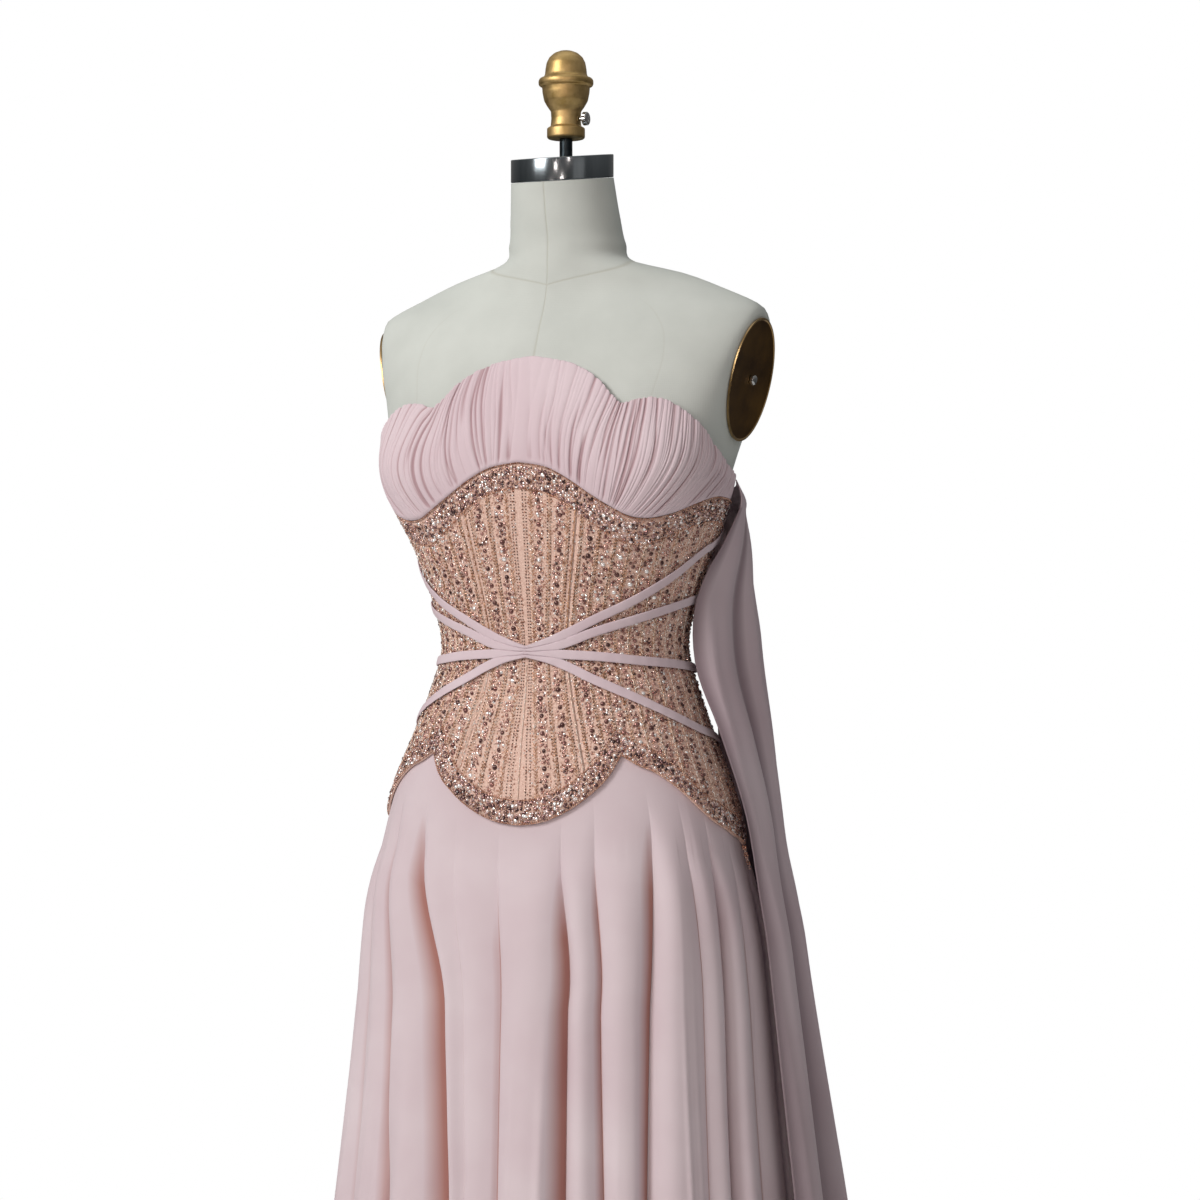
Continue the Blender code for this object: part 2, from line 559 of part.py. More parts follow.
def build_corset(name, start, end, rib_step):
    """Beaded panel between two angles: raised rows of stones and raised borders."""
    ribs = round((end - start) / rib_step)
    columns = 2 * ribs + 1
    angles = np.linspace(start, end, columns)
    if start < -LOWER_PEAK < end or start < LOWER_PEAK < end:
        peak = LOWER_PEAK if end > 0 else -LOWER_PEAK
        angles[np.argmin(np.abs(angles - peak))] = peak
    crest = np.where(np.arange(columns) % 2 == 1, 1.0, 0.0)
    low = lower_edge(angles)
    high = edge_height(BUST_SEAM, angles) - CURVED_GAP / 2
    levels = [(low, 1.0), (low + BORDER_DEPTH - BORDER_STEP, 1.0)]
    body_low, body_high = low + BORDER_DEPTH, high - BORDER_DEPTH
    levels += [(body_low, 0.0), ((body_low + WAIST_ROWS[0]) / 2, 0.0)]
    levels += [(np.full(columns, height), 0.0) for height in WAIST_ROWS]
    levels += [((WAIST_ROWS[-1] + body_high) / 2, 0.0), (body_high, 0.0)]
    levels += [(high - BORDER_DEPTH + BORDER_STEP, 1.0), (high, 1.0)]
    inner, outer = [], []
    for height, border in levels:
        rise = BORDER_RISE * border + RIB_RISE * crest * (1.0 - border)
        inner.append(figure(angles, height, CORSET_INNER))
        outer.append(figure(angles, height, CORSET_OUTER + rise))
    return make_wall(name, np.array(inner), np.array(outer), "beaded_mesh")


def build_strap(side, word, number):
    """One narrow strap from the knot round the waist, pinched at the knot."""
    route = STRAP_ROUTES[number]
    steps = math.ceil((route[-1][0] - STRAP_START) / STRAP_STEP)
    along = np.linspace(0.0, 1.0, steps + 1) ** STRAP_STEP_GROWTH
    reach = STRAP_START + (route[-1][0] - STRAP_START) * along
    centre = smooth_curve(reach, route, 1)
    slope = np.gradient(centre, reach)
    lay = CORSET_OUTER + max(RIB_RISE, BORDER_RISE) + STRAP_LIFT
    arc = np.linalg.norm(figure(reach + 0.5, centre, lay) - figure(reach - 0.5, centre, lay), axis=-1)
    steep = np.sqrt(1.0 + (slope / arc) ** 2)
    opening = np.clip((reach - STRAP_START) / STRAP_OPENING, 0.0, 1.0)
    opening = opening * opening * (3.0 - 2.0 * opening)
    half = 0.5 * (STRAP_PINCH + (STRAP_WIDTH - STRAP_PINCH) * opening) * steep
    angles = side * reach
    rings = []
    for i in range(len(reach)):
        corners = []
        for up, lift in ((-1, 0.0), (1, 0.0), (1, STRAP_THICKNESS), (-1, STRAP_THICKNESS)):
            corners.append(figure(angles[i], centre[i] + up * half[i], lay + lift))
        rings.append(np.array(corners))
    return make_loft(f"strap_{word}_{number}", rings, "chiffon", 30.0)


def build_knot():
    """The pinch at centre front where all the straps meet."""
    rest = CORSET_OUTER + RIB_RISE + 2 * SEAM_GAP
    rows, columns = KNOT_MESH
    angles = np.linspace(-KNOT_HALF_ANGLE, KNOT_HALF_ANGLE, columns)
    rings = []
    for share in np.linspace(-1.0, 1.0, rows):
        height = np.full(columns, KNOT_CENTRE + KNOT_HALF_HEIGHT * share)
        bulge = KNOT_RISE * math.sqrt(1.0 - KNOT_ROUND * share * share)
        front = figure(angles, height, rest + bulge)
        rear = figure(angles, height, rest)
        rings.append(np.concatenate([rear, front[::-1]]))
    return make_loft("strap_knot", rings, "chiffon", 60.0)


def build_tail(side, word):
    """Short beaded tail that hangs from the tip at the side seam."""
    top = float(lower_edge(SIDE_SEAM)) - SEAM_GAP
    rings = []
    turn = np.linspace(0.0, 2.0 * math.pi, 8, endpoint=False)
    for share, size in TAIL_PROFILE:
        height = top - TAIL_LENGTH * share
        centre = skirt_point(SIDE_SEAM, height, 1.0)
        sway = TAIL_SWAY * math.sin(2.0 * math.pi * share)
        x = centre[0] + TAIL_RADIUS + TAIL_CLEARANCE + TAIL_RADIUS * size * np.cos(turn)
        y = centre[1] + sway + TAIL_RADIUS * size * np.sin(turn)
        ring = np.stack([side * x, y, np.full(8, height)], axis=-1)
        rings.append(ring)
    return make_loft("side_tail_" + word, rings, "beaded_mesh", 50.0)


# ---------------------------------------------------------------- skirt and cape
def fold_rise(angle_deg, height):
    """Outward rise of the skirt's folds: none at the hips, full at the hem."""
    wrapped = (np.asarray(angle_deg, float) + 180.0) % 360.0 - 180.0
    grow = np.clip((FOLD_START - height) / (FOLD_START - HEM_HEIGHT), 0.0, 1.0) ** FOLD_GROWTH
    rise = np.zeros(np.broadcast(wrapped, height).shape)
    for angle, share, spread in SKIRT_FOLDS:
        away = (wrapped - angle + 180.0) % 360.0 - 180.0
        rise = rise + share * np.exp(-((away / spread) ** 2))
    return FOLD_RISE_HEM * grow * rise


def skirt_point(angle_deg, height, outer):
    """Point of the skirt's wall: on the figure above the hips, flared below."""
    angle_deg, height = np.broadcast_arrays(np.asarray(angle_deg, float), np.asarray(height, float))
    offset = SKIRT_INNER + (SKIRT_OUTER - SKIRT_INNER) * outer
    hips = SKIRT_SECTIONS[-1][0]
    on_body = figure(angle_deg, np.maximum(height, hips), offset)
    below = np.minimum(height, hips)
    move = offset - SKIRT_OUTER + fold_rise(angle_deg, below)
    values = [smooth_curve(below, SKIRT_SECTIONS, k) for k in range(1, len(SKIRT_COLUMNS))]
    square_column = BODY_COLUMNS.index("front_square")
    front_square = smooth_curve(np.full(below.shape, hips), BODY_SECTIONS, square_column)
    ease = np.clip((hips - below) / HEM_EASE, 0.0, 1.0)
    x, y = rounded_section(
        np.radians(angle_deg), values[0] + move, values[1] + move, values[2] + move,
        front_square + (HEM_SQUARE - front_square) * ease, SKIRT_BACK_SQUARE,
    )
    flared = np.stack([x, y, below], axis=-1)
    return np.where((height >= hips)[..., None], on_body, flared)


def build_skirt(name, start, end):
    """Half of the skirt: a thin folded wall from under the corset to the hem."""
    angles = np.linspace(start, end, SKIRT_HALF_COLUMNS + 1)
    top = lower_edge(angles) + SKIRT_TUCK
    hips = SKIRT_SECTIONS[-1][0]
    levels = [top, (top + hips) / 2, np.full(angles.shape, hips)]
    for share in np.linspace(0.0, 1.0, SKIRT_ROWS)[1:]:
        levels.append(np.full(angles.shape, hips + (HEM_HEIGHT - hips) * share ** SKIRT_ROW_SPREAD))
    inner = np.array([skirt_point(angles, level, 0.0) for level in levels])
    outer = np.array([skirt_point(angles, level, 1.0) for level in levels])
    return make_wall(name, inner, outer, "chiffon")


def cape_point(fraction, height, outer):
    """Point of the cape: fraction runs from its front edge (0) to its rear edge (1)."""
    fraction, height = np.broadcast_arrays(np.asarray(fraction, float), np.asarray(height, float))
    values = [smooth_curve(height, CAPE_SECTIONS, k) for k in range(1, len(CAPE_COLUMNS))]
    half_width, back, square, front_edge, rear_edge, draw = values
    angle = front_edge + (rear_edge - front_edge) * fraction
    drift = CAPE_FOLD_DRIFT[0] * np.sin(fraction * CAPE_FOLD_DRIFT[1])
    wave = 0.5 - 0.5 * np.cos(2.0 * math.pi * CAPE_FOLDS * fraction + drift)
    grow = np.clip((CAPE_SECTIONS[-1][0] - height) / CAPE_FOLD_START, 0.0, 1.0)
    rise = CAPE_FOLD_RISE * wave * grow * (1.0 + CAPE_FOLD_GROWTH * (1.0 - height))
    curl = draw * np.clip(1.0 - fraction / CAPE_DRAW_REACH, 0.0, 1.0) ** 2
    move = rise - curl + CAPE_WALL * outer + fold_rise(angle, np.minimum(height, FOLD_START))
    x, y = rounded_section(
        np.radians(angle), half_width + move, back + move, back + move, HEM_SQUARE, square
    )
    return np.stack([x, y, height], axis=-1)


def build_cape():
    """Free panel sewn to half of the back's top edge, falling to the floor."""
    fraction = np.linspace(1.0, 0.0, CAPE_MESH_COLUMNS + 1)
    front_end, rear_end = CAPE_TOP_EDGES
    angles = front_end + fraction * (rear_end - front_end)
    top = CAPE_SECTIONS[-1][0]
    low = CAPE_SECTIONS[0][0]
    sewn = edge_height(NECKLINE, angles) - CAPE_TOP_DROP
    inner, outer = [], []
    for height in (sewn, (sewn + top) / 2):
        inner.append(figure(angles, height, CAPE_TOP_OFFSET))
        outer.append(figure(angles, height, CAPE_TOP_OFFSET + CAPE_WALL))
    for fall in np.linspace(0.0, 1.0, CAPE_ROWS + 1):
        height = top + (low - top) * fall ** CAPE_ROW_SPREAD
        inner.append(cape_point(fraction, height, 0.0))
        outer.append(cape_point(fraction, height, 1.0))
    return make_wall("cape", np.array(inner), np.array(outer), "chiffon")


def build_gown():
    """All the cut pieces of the gown."""
    side_gap = gap_angle(SIDE_SEAM, 1.10)
    princess_gap = gap_angle(PRINCESS, 1.07)
    back_gap = gap_angle(180.0, 1.07)
    side, princess, centre_back = SIDE_SEAM, PRINCESS, 180.0
    build_bust("bust_front", -side + side_gap, side - side_gap, GATHERS_FRONT)
    build_bust("bust_back_left", side + side_gap, centre_back - back_gap, GATHERS_BACK)
    build_bust("bust_back_right", -centre_back + back_gap, -side - side_gap, GATHERS_BACK)
    build_corset("corset_front_centre", -princess + princess_gap, princess - princess_gap, RIB_STEP)
    build_corset("corset_front_left", princess + princess_gap, side - side_gap, RIB_STEP)
    build_corset("corset_front_right", -side + side_gap, -princess - princess_gap, RIB_STEP)
    build_corset("corset_back_left", side + side_gap, centre_back - back_gap, BACK_RIB_STEP)
    build_corset("corset_back_right", -centre_back + back_gap, -side - side_gap, BACK_RIB_STEP)
    build_skirt("skirt_front", -side + side_gap, side - side_gap)
    build_skirt("skirt_back", side + side_gap, 360.0 - side - side_gap)
    build_cape()
    for side_sign, word in ((1, "left"), (-1, "right")):
        for number in STRAP_ROUTES:
            build_strap(side_sign, word, number)
        build_tail(side_sign, word)
    build_knot()


def main():
    """Build the dress form, its stand and the gown."""
    clear_scene()
    build_torso()
    build_neck_cap()
    build_finial()
    build_arm_plate(1, "left")
    build_arm_plate(-1, "right")
    build_stand()
    build_gown()


main()
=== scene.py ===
import math

import bpy
import numpy as np
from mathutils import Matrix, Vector


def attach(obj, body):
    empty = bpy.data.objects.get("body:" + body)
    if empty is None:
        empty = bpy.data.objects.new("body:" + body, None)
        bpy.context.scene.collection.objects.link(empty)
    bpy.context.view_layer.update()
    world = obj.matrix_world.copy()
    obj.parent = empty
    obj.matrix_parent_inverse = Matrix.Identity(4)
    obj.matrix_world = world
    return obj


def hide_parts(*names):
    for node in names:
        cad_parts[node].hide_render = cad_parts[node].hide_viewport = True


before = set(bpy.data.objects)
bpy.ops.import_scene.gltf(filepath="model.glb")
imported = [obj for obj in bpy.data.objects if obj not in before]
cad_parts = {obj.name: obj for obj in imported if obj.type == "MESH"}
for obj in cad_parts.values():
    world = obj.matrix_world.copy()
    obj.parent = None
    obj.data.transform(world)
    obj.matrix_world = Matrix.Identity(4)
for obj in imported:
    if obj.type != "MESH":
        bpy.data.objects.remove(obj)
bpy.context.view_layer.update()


def linear(hexCode):
    # sRGB hex to linear: c / 12.92 in the darkest part, ((c + 0.055) / 1.055) ^ 2.4 above it
    channels = [int(hexCode[i:i + 2], 16) / 255 for i in (1, 3, 5)]
    return (*[c / 12.92 if c <= 0.04045 else ((c + 0.055) / 1.055) ** 2.4 for c in channels], 1.0)


def unit(value):
    # the value, held between 0 and 1
    return np.clip(value, 0.0, 1.0)


def ease(value):
    # an S-shaped rise from 0 to 1: t * t * (3 - 2 * t)
    t = unit(value)
    return t * t * (3.0 - 2.0 * t)


def bell(value):
    # 1 in the middle and falling off to both sides: e to the power -(x * x)
    return np.exp(-(value ** 2))


def wrap(angleDeg):
    # the same direction between -180 and 180 degrees
    return (np.asarray(angleDeg, float) + 180.0) % 360.0 - 180.0


def wholeTurn(count):
    # evenly spaced angles round a circle, the last one short of the first
    return np.linspace(0.0, 2.0 * math.pi, count, endpoint=False)


def ringPairs(count):
    # each point of a ring and the one after it
    return np.arange(count), (np.arange(count) + 1) % count


def stacked(*parts):
    # arrays side by side along a new last axis, each stretched to the common shape
    return np.stack(np.broadcast_arrays(*parts), axis=-1)


def normalised(vectors):
    # each vector divided by its length
    return vectors / np.linalg.norm(vectors, axis=-1, keepdims=True)


def makeMesh(name, points, faceSets):
    # points is an (n, 3) array, faceSets a list of index arrays with 3 or 4 columns
    mesh = bpy.data.meshes.new(name)
    points = np.asarray(points, dtype=np.float32).reshape(-1, 3)
    mesh.vertices.add(len(points))
    mesh.vertices.foreach_set("co", points.ravel())
    faceSets = [np.asarray(faces, dtype=np.int32) for faces in faceSets if len(faces)]
    corners = np.concatenate([faces.ravel() for faces in faceSets])
    sizes = np.concatenate([np.full(len(faces), faces.shape[1]) for faces in faceSets])
    mesh.loops.add(len(corners))
    mesh.loops.foreach_set("vertex_index", corners)
    mesh.polygons.add(len(sizes))
    mesh.polygons.foreach_set("loop_start", np.concatenate([[0], np.cumsum(sizes)[:-1]]).astype(np.int32))
    mesh.update(calc_edges=True)
    mesh.validate()
    item = bpy.data.objects.new(name, mesh)
    bpy.context.scene.collection.objects.link(item)
    return item


def paintPoints(item, name, *values):
    # one number for each point, read by the material as an attribute
    layer = item.data.attributes.new(name, "FLOAT", "POINT")
    layer.data.foreach_set("value", np.concatenate([np.ravel(part) for part in values]).astype(np.float32))


def gridFaces(rows, columns, closed=False):
    # quads of a grid whose rows go up and whose columns turn towards the wearer's left
    i, j = np.meshgrid(np.arange(rows - 1), np.arange(columns if closed else columns - 1), indexing="ij")
    k = (j + 1) % columns
    return stacked(i * columns + j, i * columns + k, (i + 1) * columns + k, (i + 1) * columns + j).reshape(-1, 4)


def wallMesh(name, inner, outer):
    # two matching grids, inner and outer, closed along their rim into one thin wall
    rows, columns = outer.shape[:2]
    count = rows * columns
    quads = gridFaces(rows, columns)
    rim = np.concatenate([
        np.arange(columns), np.arange(1, rows) * columns + columns - 1,
        (rows - 1) * columns + np.arange(columns - 2, -1, -1), np.arange(rows - 2, 0, -1) * columns,
    ])
    after = np.roll(rim, -1)
    points = np.concatenate([outer.reshape(-1, 3), inner.reshape(-1, 3)])
    item = makeMesh(name, points, [quads, quads[:, ::-1] + count, stacked(after, rim, rim + count, after + count)])
    item.data.shade_smooth()
    return item


def loftMesh(name, rings, sharp=35.0):
    # closed rings one above the next, each end closed by a fan about its middle
    rows, columns = rings.shape[:2]
    j, k = ringPairs(columns)
    last = (rows - 1) * columns
    low, high = stacked(rows * columns, k, j), stacked(rows * columns + 1, last + j, last + k)
    points = np.concatenate([rings.reshape(-1, 3), rings[[0, -1]].mean(axis=1)])
    item = makeMesh(name, points, [gridFaces(rows, columns, closed=True), low, high])
    item.data.shade_smooth()
    item.data.set_sharp_from_angle(angle=math.radians(sharp))
    return item


def finishPiece(item, material, slot, *nodes):
    # one material, the body it rides on, its slot (not used) and the solids that it stands in for
    item.data.materials.append(material)
    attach(item, "root")
    if nodes:
        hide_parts(*nodes)
    return item


def declareCloth(grid, fullness=1.0):
    # the cut of what shows: the widest row times the fullness gathered in, and the longest column; nothing reads them
    length, width = (float(np.linalg.norm(np.diff(grid, axis=axis), axis=-1).sum(axis=axis).max()) for axis in (0, 1))
    width *= fullness


# the figure has the same sections as the solids: angle 0 at centre front, + towards the wearer's left
figureSizes = {
    # height, half width, front, back, front squareness, back squareness, set back
    "sections": (
        (0.78, 0.17, 0.114, 0.13, 2.5, 2.0, 0.0), (0.88, 0.18, 0.1125, 0.13, 2.7, 2.0, 0.0),
        (0.94, 0.165, 0.1085, 0.12, 2.8, 2.0, 0.0), (0.985, 0.1475, 0.101, 0.107, 2.6, 2.0, 0.0),
        (1.03, 0.1325, 0.0915, 0.093, 2.3, 2.0, 0.0), (1.07, 0.121, 0.0885, 0.086, 2.2, 2.0, 0.0),
        (1.12, 0.1295, 0.0945, 0.09, 2.3, 2.0, 0.0), (1.165, 0.1445, 0.102, 0.096, 2.4, 2.0, 0.0),
        (1.21, 0.1615, 0.1075, 0.102, 2.4, 2.1, 0.0), (1.24, 0.169, 0.109, 0.105, 2.4, 2.2, 0.0),
        (1.28, 0.178, 0.108, 0.11, 2.5, 2.6, 0.002), (1.32, 0.192, 0.103, 0.107, 2.6, 2.8, 0.009),
        (1.36, 0.208, 0.091, 0.095, 2.4, 2.6, 0.013), (1.39, 0.212, 0.077, 0.081, 2.0, 2.2, 0.013),
        (1.407, 0.204, 0.068, 0.071, 1.7, 1.9, 0.013), (1.427, 0.163, 0.06, 0.062, 1.4, 1.6, 0.012),
        (1.443, 0.122, 0.056, 0.056, 1.45, 1.6, 0.01), (1.457, 0.07, 0.052, 0.054, 1.8, 1.8, 0.006),
        (1.475, 0.06, 0.048, 0.052, 2.0, 2.0, 0.003), (1.5, 0.056, 0.048, 0.049, 2.0, 2.0, -0.002),
        (1.538, 0.052, 0.047, 0.046, 2.0, 2.0, -0.009),
    ),
    "cupAngle": 45.0, "cupSpread": 25.0, "cupHeight": 1.243, "cupReach": 0.05, "cupDepth": 0.021,
    "plateCentre": (0.191, 0.0115, 1.336), "plateLean": 0.22, "plateTurn": 0.12,
    "plateSoft": 0.006, "plateFlatFrom": 1.262,
    "releaseAbove": 0.016, "releaseHeight": 0.033, "releaseOut": 0.014,
    "neckTilt": 8.5, "neckTiltFrom": 1.46, "capBottom": 1.5386, "capCentreY": -0.0095,
    "sideSeam": 95.0, "princess": 17.0, "seamGap": 0.0003,
}
# gown edges: angle from centre front and height, the same on both sides
neckline = (
    (0, 1.357), (9, 1.3475), (16, 1.332), (21, 1.317), (25, 1.309), (30, 1.3125), (36, 1.3135),
    (43, 1.3085), (52, 1.297), (62, 1.283), (78, 1.259), (98, 1.24), (130, 1.234), (180, 1.232),
)
bustSeam = (
    (0, 1.2525), (7, 1.247), (14, 1.235), (21, 1.221), (29, 1.208), (36, 1.2), (42, 1.198),
    (52, 1.202), (64, 1.212), (80, 1.22), (98, 1.218), (130, 1.208), (180, 1.204),
)
lowerEdgeTable = (
    (0, 0.9025), (3, 0.905), (8, 0.913), (13, 0.923), (18, 0.934), (23, 0.945), (28, 0.958),
    (32.5, 0.971), (38, 0.9625), (46, 0.955), (53, 0.945), (60, 0.933), (67, 0.919), (75, 0.906),
    (84, 0.896), (95, 0.88), (105, 0.893), (120, 0.91), (150, 0.928), (180, 0.934),
)
lowerPeak = 32.5
cloth = {
    "skirtInner": 0.0015, "skirtOuter": 0.0029, "corsetInner": 0.0037, "corsetOuter": 0.0058,
    "bustInner": 0.0034, "bustOuter": 0.0053, "borderDepth": 0.023, "skirtTuck": 0.012, "hem": 0.012,
}


def smoothCurve(x, table, column=1):
    # a cubic through the table's rows, with each row's slope taken from its neighbours
    table = np.asarray(table, dtype=float)
    knots, values = table[:, 0], table[:, column]
    slopes = np.gradient(values, knots)
    x = np.clip(np.asarray(x, dtype=float), knots[0], knots[-1])
    i = np.clip(np.searchsorted(knots, x) - 1, 0, len(knots) - 2)
    width = knots[i + 1] - knots[i]
    t = (x - knots[i]) / width
    return ((1 + 2 * t) * (1 - t) ** 2 * values[i] + t * (1 - t) ** 2 * width * slopes[i]
            + t * t * (3 - 2 * t) * values[i + 1] + t * t * (t - 1) * width * slopes[i + 1])


def roundedSection(angle, halfWidth, front, back, frontSquare, backSquare):
    # an ellipse whose corners are filled out: each axis is a sine or cosine to the power 2 / squareness
    side, ahead = np.sin(angle), np.cos(angle)
    square = np.where(ahead > 0, frontSquare, backSquare)
    depth = np.where(ahead > 0, front, back)
    x = halfWidth * np.sign(side) * np.abs(side) ** (2.0 / square)
    y = -depth * np.sign(ahead) * np.abs(ahead) ** (2.0 / square)
    return x, y


def softLimit(distance, limit, softness):
    # the smaller of the two, joined by a parabola where they meet
    over = distance - limit
    rounded = limit - (softness - over) ** 2 / (4.0 * softness)
    return np.where(over > softness, limit, np.where(over > -softness, rounded, distance))


def platePlane(y, z):
    # the flat side of the form: its middle, plus a lean with height and a turn with depth
    s = figureSizes
    x, middleY, middleZ = s["plateCentre"]
    return x + s["plateLean"] * (z - middleZ) + s["plateTurn"] * (y - middleY)


neckSlope = math.tan(math.radians(figureSizes["neckTilt"]))


def figure(angleDeg, height, offset=0.0):
    # a section at each height, plus two bell-shaped cups, clipped by the flat sides, all moved out by the offset
    s = figureSizes
    angleDeg, height = np.broadcast_arrays(np.asarray(angleDeg, float), np.asarray(height, float))
    angle = np.radians(angleDeg)
    halfWidth, front, back, frontSquare, backSquare, setBack = [
        smoothCurve(height, s["sections"], k) for k in range(1, 7)
    ]
    x, y = roundedSection(angle, halfWidth + offset, front + offset, back + offset, frontSquare, backSquare)
    cup = sum(bell((wrap(angleDeg) - q) / s["cupSpread"]) for q in (-s["cupAngle"], s["cupAngle"]))
    cup = cup * s["cupDepth"] * bell((height - s["cupHeight"]) / s["cupReach"])
    x = x + cup * np.sin(angle)
    y = y - cup * np.cos(angle) + setBack
    release = ease((s["plateFlatFrom"] + s["releaseAbove"] - height) / s["releaseHeight"])
    limit = np.where(release < 1.0, platePlane(y, height) + offset + s["releaseOut"] * release, 1.0)
    x = np.sign(x) * softLimit(np.abs(x), limit, s["plateSoft"])
    lean = unit((height - s["neckTiltFrom"]) / (s["capBottom"] - s["neckTiltFrom"]))
    return stacked(x, y, height + lean * neckSlope * (y - s["capCentreY"]))


def mirrored(angleDeg):
    # degrees from centre front, on either side
    return np.abs(wrap(angleDeg))


def edgeHeight(table, angleDeg):
    # the height of an edge that is the same on both sides
    return smoothCurve(mirrored(angleDeg), table)


def lowerEdge(angleDeg):
    # three smooth curves that meet at the sharp peak and at the side's sharp tip
    reach, table = mirrored(angleDeg), np.array(lowerEdgeTable)
    knots, tip = table[:, 0], figureSizes["sideSeam"]
    height = smoothCurve(reach, table[knots <= lowerPeak])
    height = np.where(reach > lowerPeak, smoothCurve(reach, table[(knots >= lowerPeak) & (knots <= tip)]), height)
    return np.where(reach > tip, smoothCurve(reach, table[knots >= tip]), height)


def surfaceFrame(place, angleDeg, height):
    # point, outward normal and upward direction of a surface, from small steps in angle and height
    across = place(angleDeg + 0.25, height) - place(angleDeg - 0.25, height)
    up = place(angleDeg, height + 0.0008) - place(angleDeg, height - 0.0008)
    normal = normalised(np.cross(across, up))
    up = normalised(up - normal * (up * normal).sum(axis=-1, keepdims=True))
    return place(angleDeg, height), normal, up


def degreeLength(angleDeg, height, offset=0.0):
    # metres of cloth to one degree round the figure
    return np.linalg.norm(figure(angleDeg + 0.5, height, offset) - figure(angleDeg - 0.5, height, offset), axis=-1)


def addNode(tree, kind, settings=None, links=None, out=0):
    # makes a node and gives one of its outputs: settings are its properties, its socket values or a ramp's stops
    # as (place, hex colour), and links lead to its inputs
    node = tree.nodes.new("ShaderNode" + kind)
    for key, value in (settings or {}).items():
        if key == "stops":
            elements = node.color_ramp.elements
            while len(elements) < len(value):
                elements.new(0.5)
            for element, (place, colour) in zip(elements, value):
                element.position, element.color = place, linear(colour)
        elif key in node.inputs.keys():
            node.inputs[key].default_value = value
        else:
            setattr(node, key, value)
    for key, source in (links or {}).items():
        tree.links.new(source, node.inputs[key])
    return node.outputs[out] if len(node.outputs) else None


def newMaterial(name, settings):
    # a material with one Principled BSDF; constants sit on the shader's own sockets
    material = bpy.data.materials.new(name)
    material.use_nodes = True
    for key, value in settings.items():
        material.node_tree.nodes["Principled BSDF"].inputs[key].default_value = value
    return material, material.node_tree


def linkShader(material, links):
    # joins node outputs to sockets of the shader
    tree = material.node_tree
    for key, source in links.items():
        tree.links.new(source, tree.nodes["Principled BSDF"].inputs[key])
    return material


def linenMaterial():
    # unbleached cotton-linen drill, sized and stretched over the form: matt, slightly grey-green off-white,
    # with a fine plain weave and a darker stitched line in each seam
    material, tree = newMaterial("sizedLinen", {"Roughness": 0.82, "Specular IOR Level": 0.25})
    place = {"Vector": addNode(tree, "TexCoord", out="Object")}
    cloudy = addNode(tree, "TexNoise", {"Scale": 14.0, "Detail": 4.0}, place)
    base = addNode(tree, "ValToRGB", {"stops": ((0.3, "#bfc6c2"), (0.7, "#cad1cd"))}, {"Fac": cloudy})
    seam = addNode(tree, "Attribute", {"attribute_name": "seam"}, out="Fac")
    shaded = addNode(tree, "Mix", {"data_type": "RGBA", "B": linear("#a9a99c")}, {"Factor": seam, "A": base}, "Result")
    # threads 0.9 mm apart, drawn twice as coarse as real drill so that they show
    warp, weft = (addNode(tree, "TexWave", {"Scale": 180.0, "bands_direction": axis}, place, "Fac") for axis in "XZ")
    weave = addNode(tree, "Math", {"operation": "ADD"}, {0: warp, 1: weft})
    woven = addNode(tree, "Bump", {"Strength": 0.1, "Distance": 0.0003}, {"Height": weave})
    slub = addNode(tree, "TexNoise", {"Scale": 160.0, "Detail": 3.0}, place)
    uneven = addNode(tree, "Bump", {"Strength": 0.16, "Distance": 0.0006}, {"Height": slub, "Normal": woven})
    return linkShader(material, {"Base Color": shaded, "Normal": uneven})


def chiffonMaterial(name, lit, shadeColour, grain=0.12):
    # silk-look polyester chiffon in several layers: soft, matt, with a pale bloom at grazing angles from its crinkled
    # yarn; painted shade: the fold attribute darkens it to a warm shade colour in creases and on shaded flanks
    material, tree = newMaterial(name, {
        "Roughness": 0.78, "Specular IOR Level": 0.18, "Sheen Weight": 0.22, "Sheen Roughness": 0.45,
        "Sheen Tint": linear("#f3e3e6"),
    })
    place = {"Vector": addNode(tree, "TexCoord", out="Object")}
    fold = addNode(tree, "Attribute", {"attribute_name": "fold"}, out="Fac")
    # painted shade: fold 0 gives the shade colour, fold 0.55 and above the lit colour
    base = addNode(tree, "ValToRGB", {"stops": ((0.0, shadeColour), (0.55, lit), (1.0, lit))}, {"Fac": fold})
    cloudy = addNode(tree, "TexNoise", {"Scale": 9.0, "Detail": 3.0}, place)
    tint = addNode(tree, "ValToRGB", {"stops": ((0.3, "#f4eef0"), (0.7, "#ffffff"))}, {"Fac": cloudy})
    mixed = addNode(tree, "Mix", {"data_type": "RGBA", "blend_type": "MULTIPLY", "Factor": 1.0},
                    {"A": base, "B": tint}, "Result")
    crepe = addNode(tree, "TexNoise", {"Scale": 900.0, "Detail": 2.0}, place)
    crinkled = addNode(tree, "Bump", {"Strength": grain, "Distance": 0.0004}, {"Height": crepe})
    return linkShader(material, {"Base Color": mixed, "Normal": crinkled})


def netMaterial():
    # flesh-tone stretch net over a matt backing: the small hexagons show as a fine darker lattice
    material, tree = newMaterial("nudeNet", {"Roughness": 0.7, "Specular IOR Level": 0.3})
    place = {"Vector": addNode(tree, "TexCoord", out="Object")}
    # holes 1.6 mm across, twice their real size so that they show
    cells = addNode(tree, "TexVoronoi", {"feature": "DISTANCE_TO_EDGE", "Scale": 600.0}, place, "Distance")
    base = addNode(tree, "ValToRGB", {"stops": ((0.0, "#cfac9d"), (0.28, "#ead0c4"))}, {"Fac": cells})
    holes = addNode(tree, "Bump", {"Strength": 0.25, "Distance": 0.0004, "invert": True}, {"Height": cells})
    return linkShader(material, {"Base Color": base, "Normal": holes})


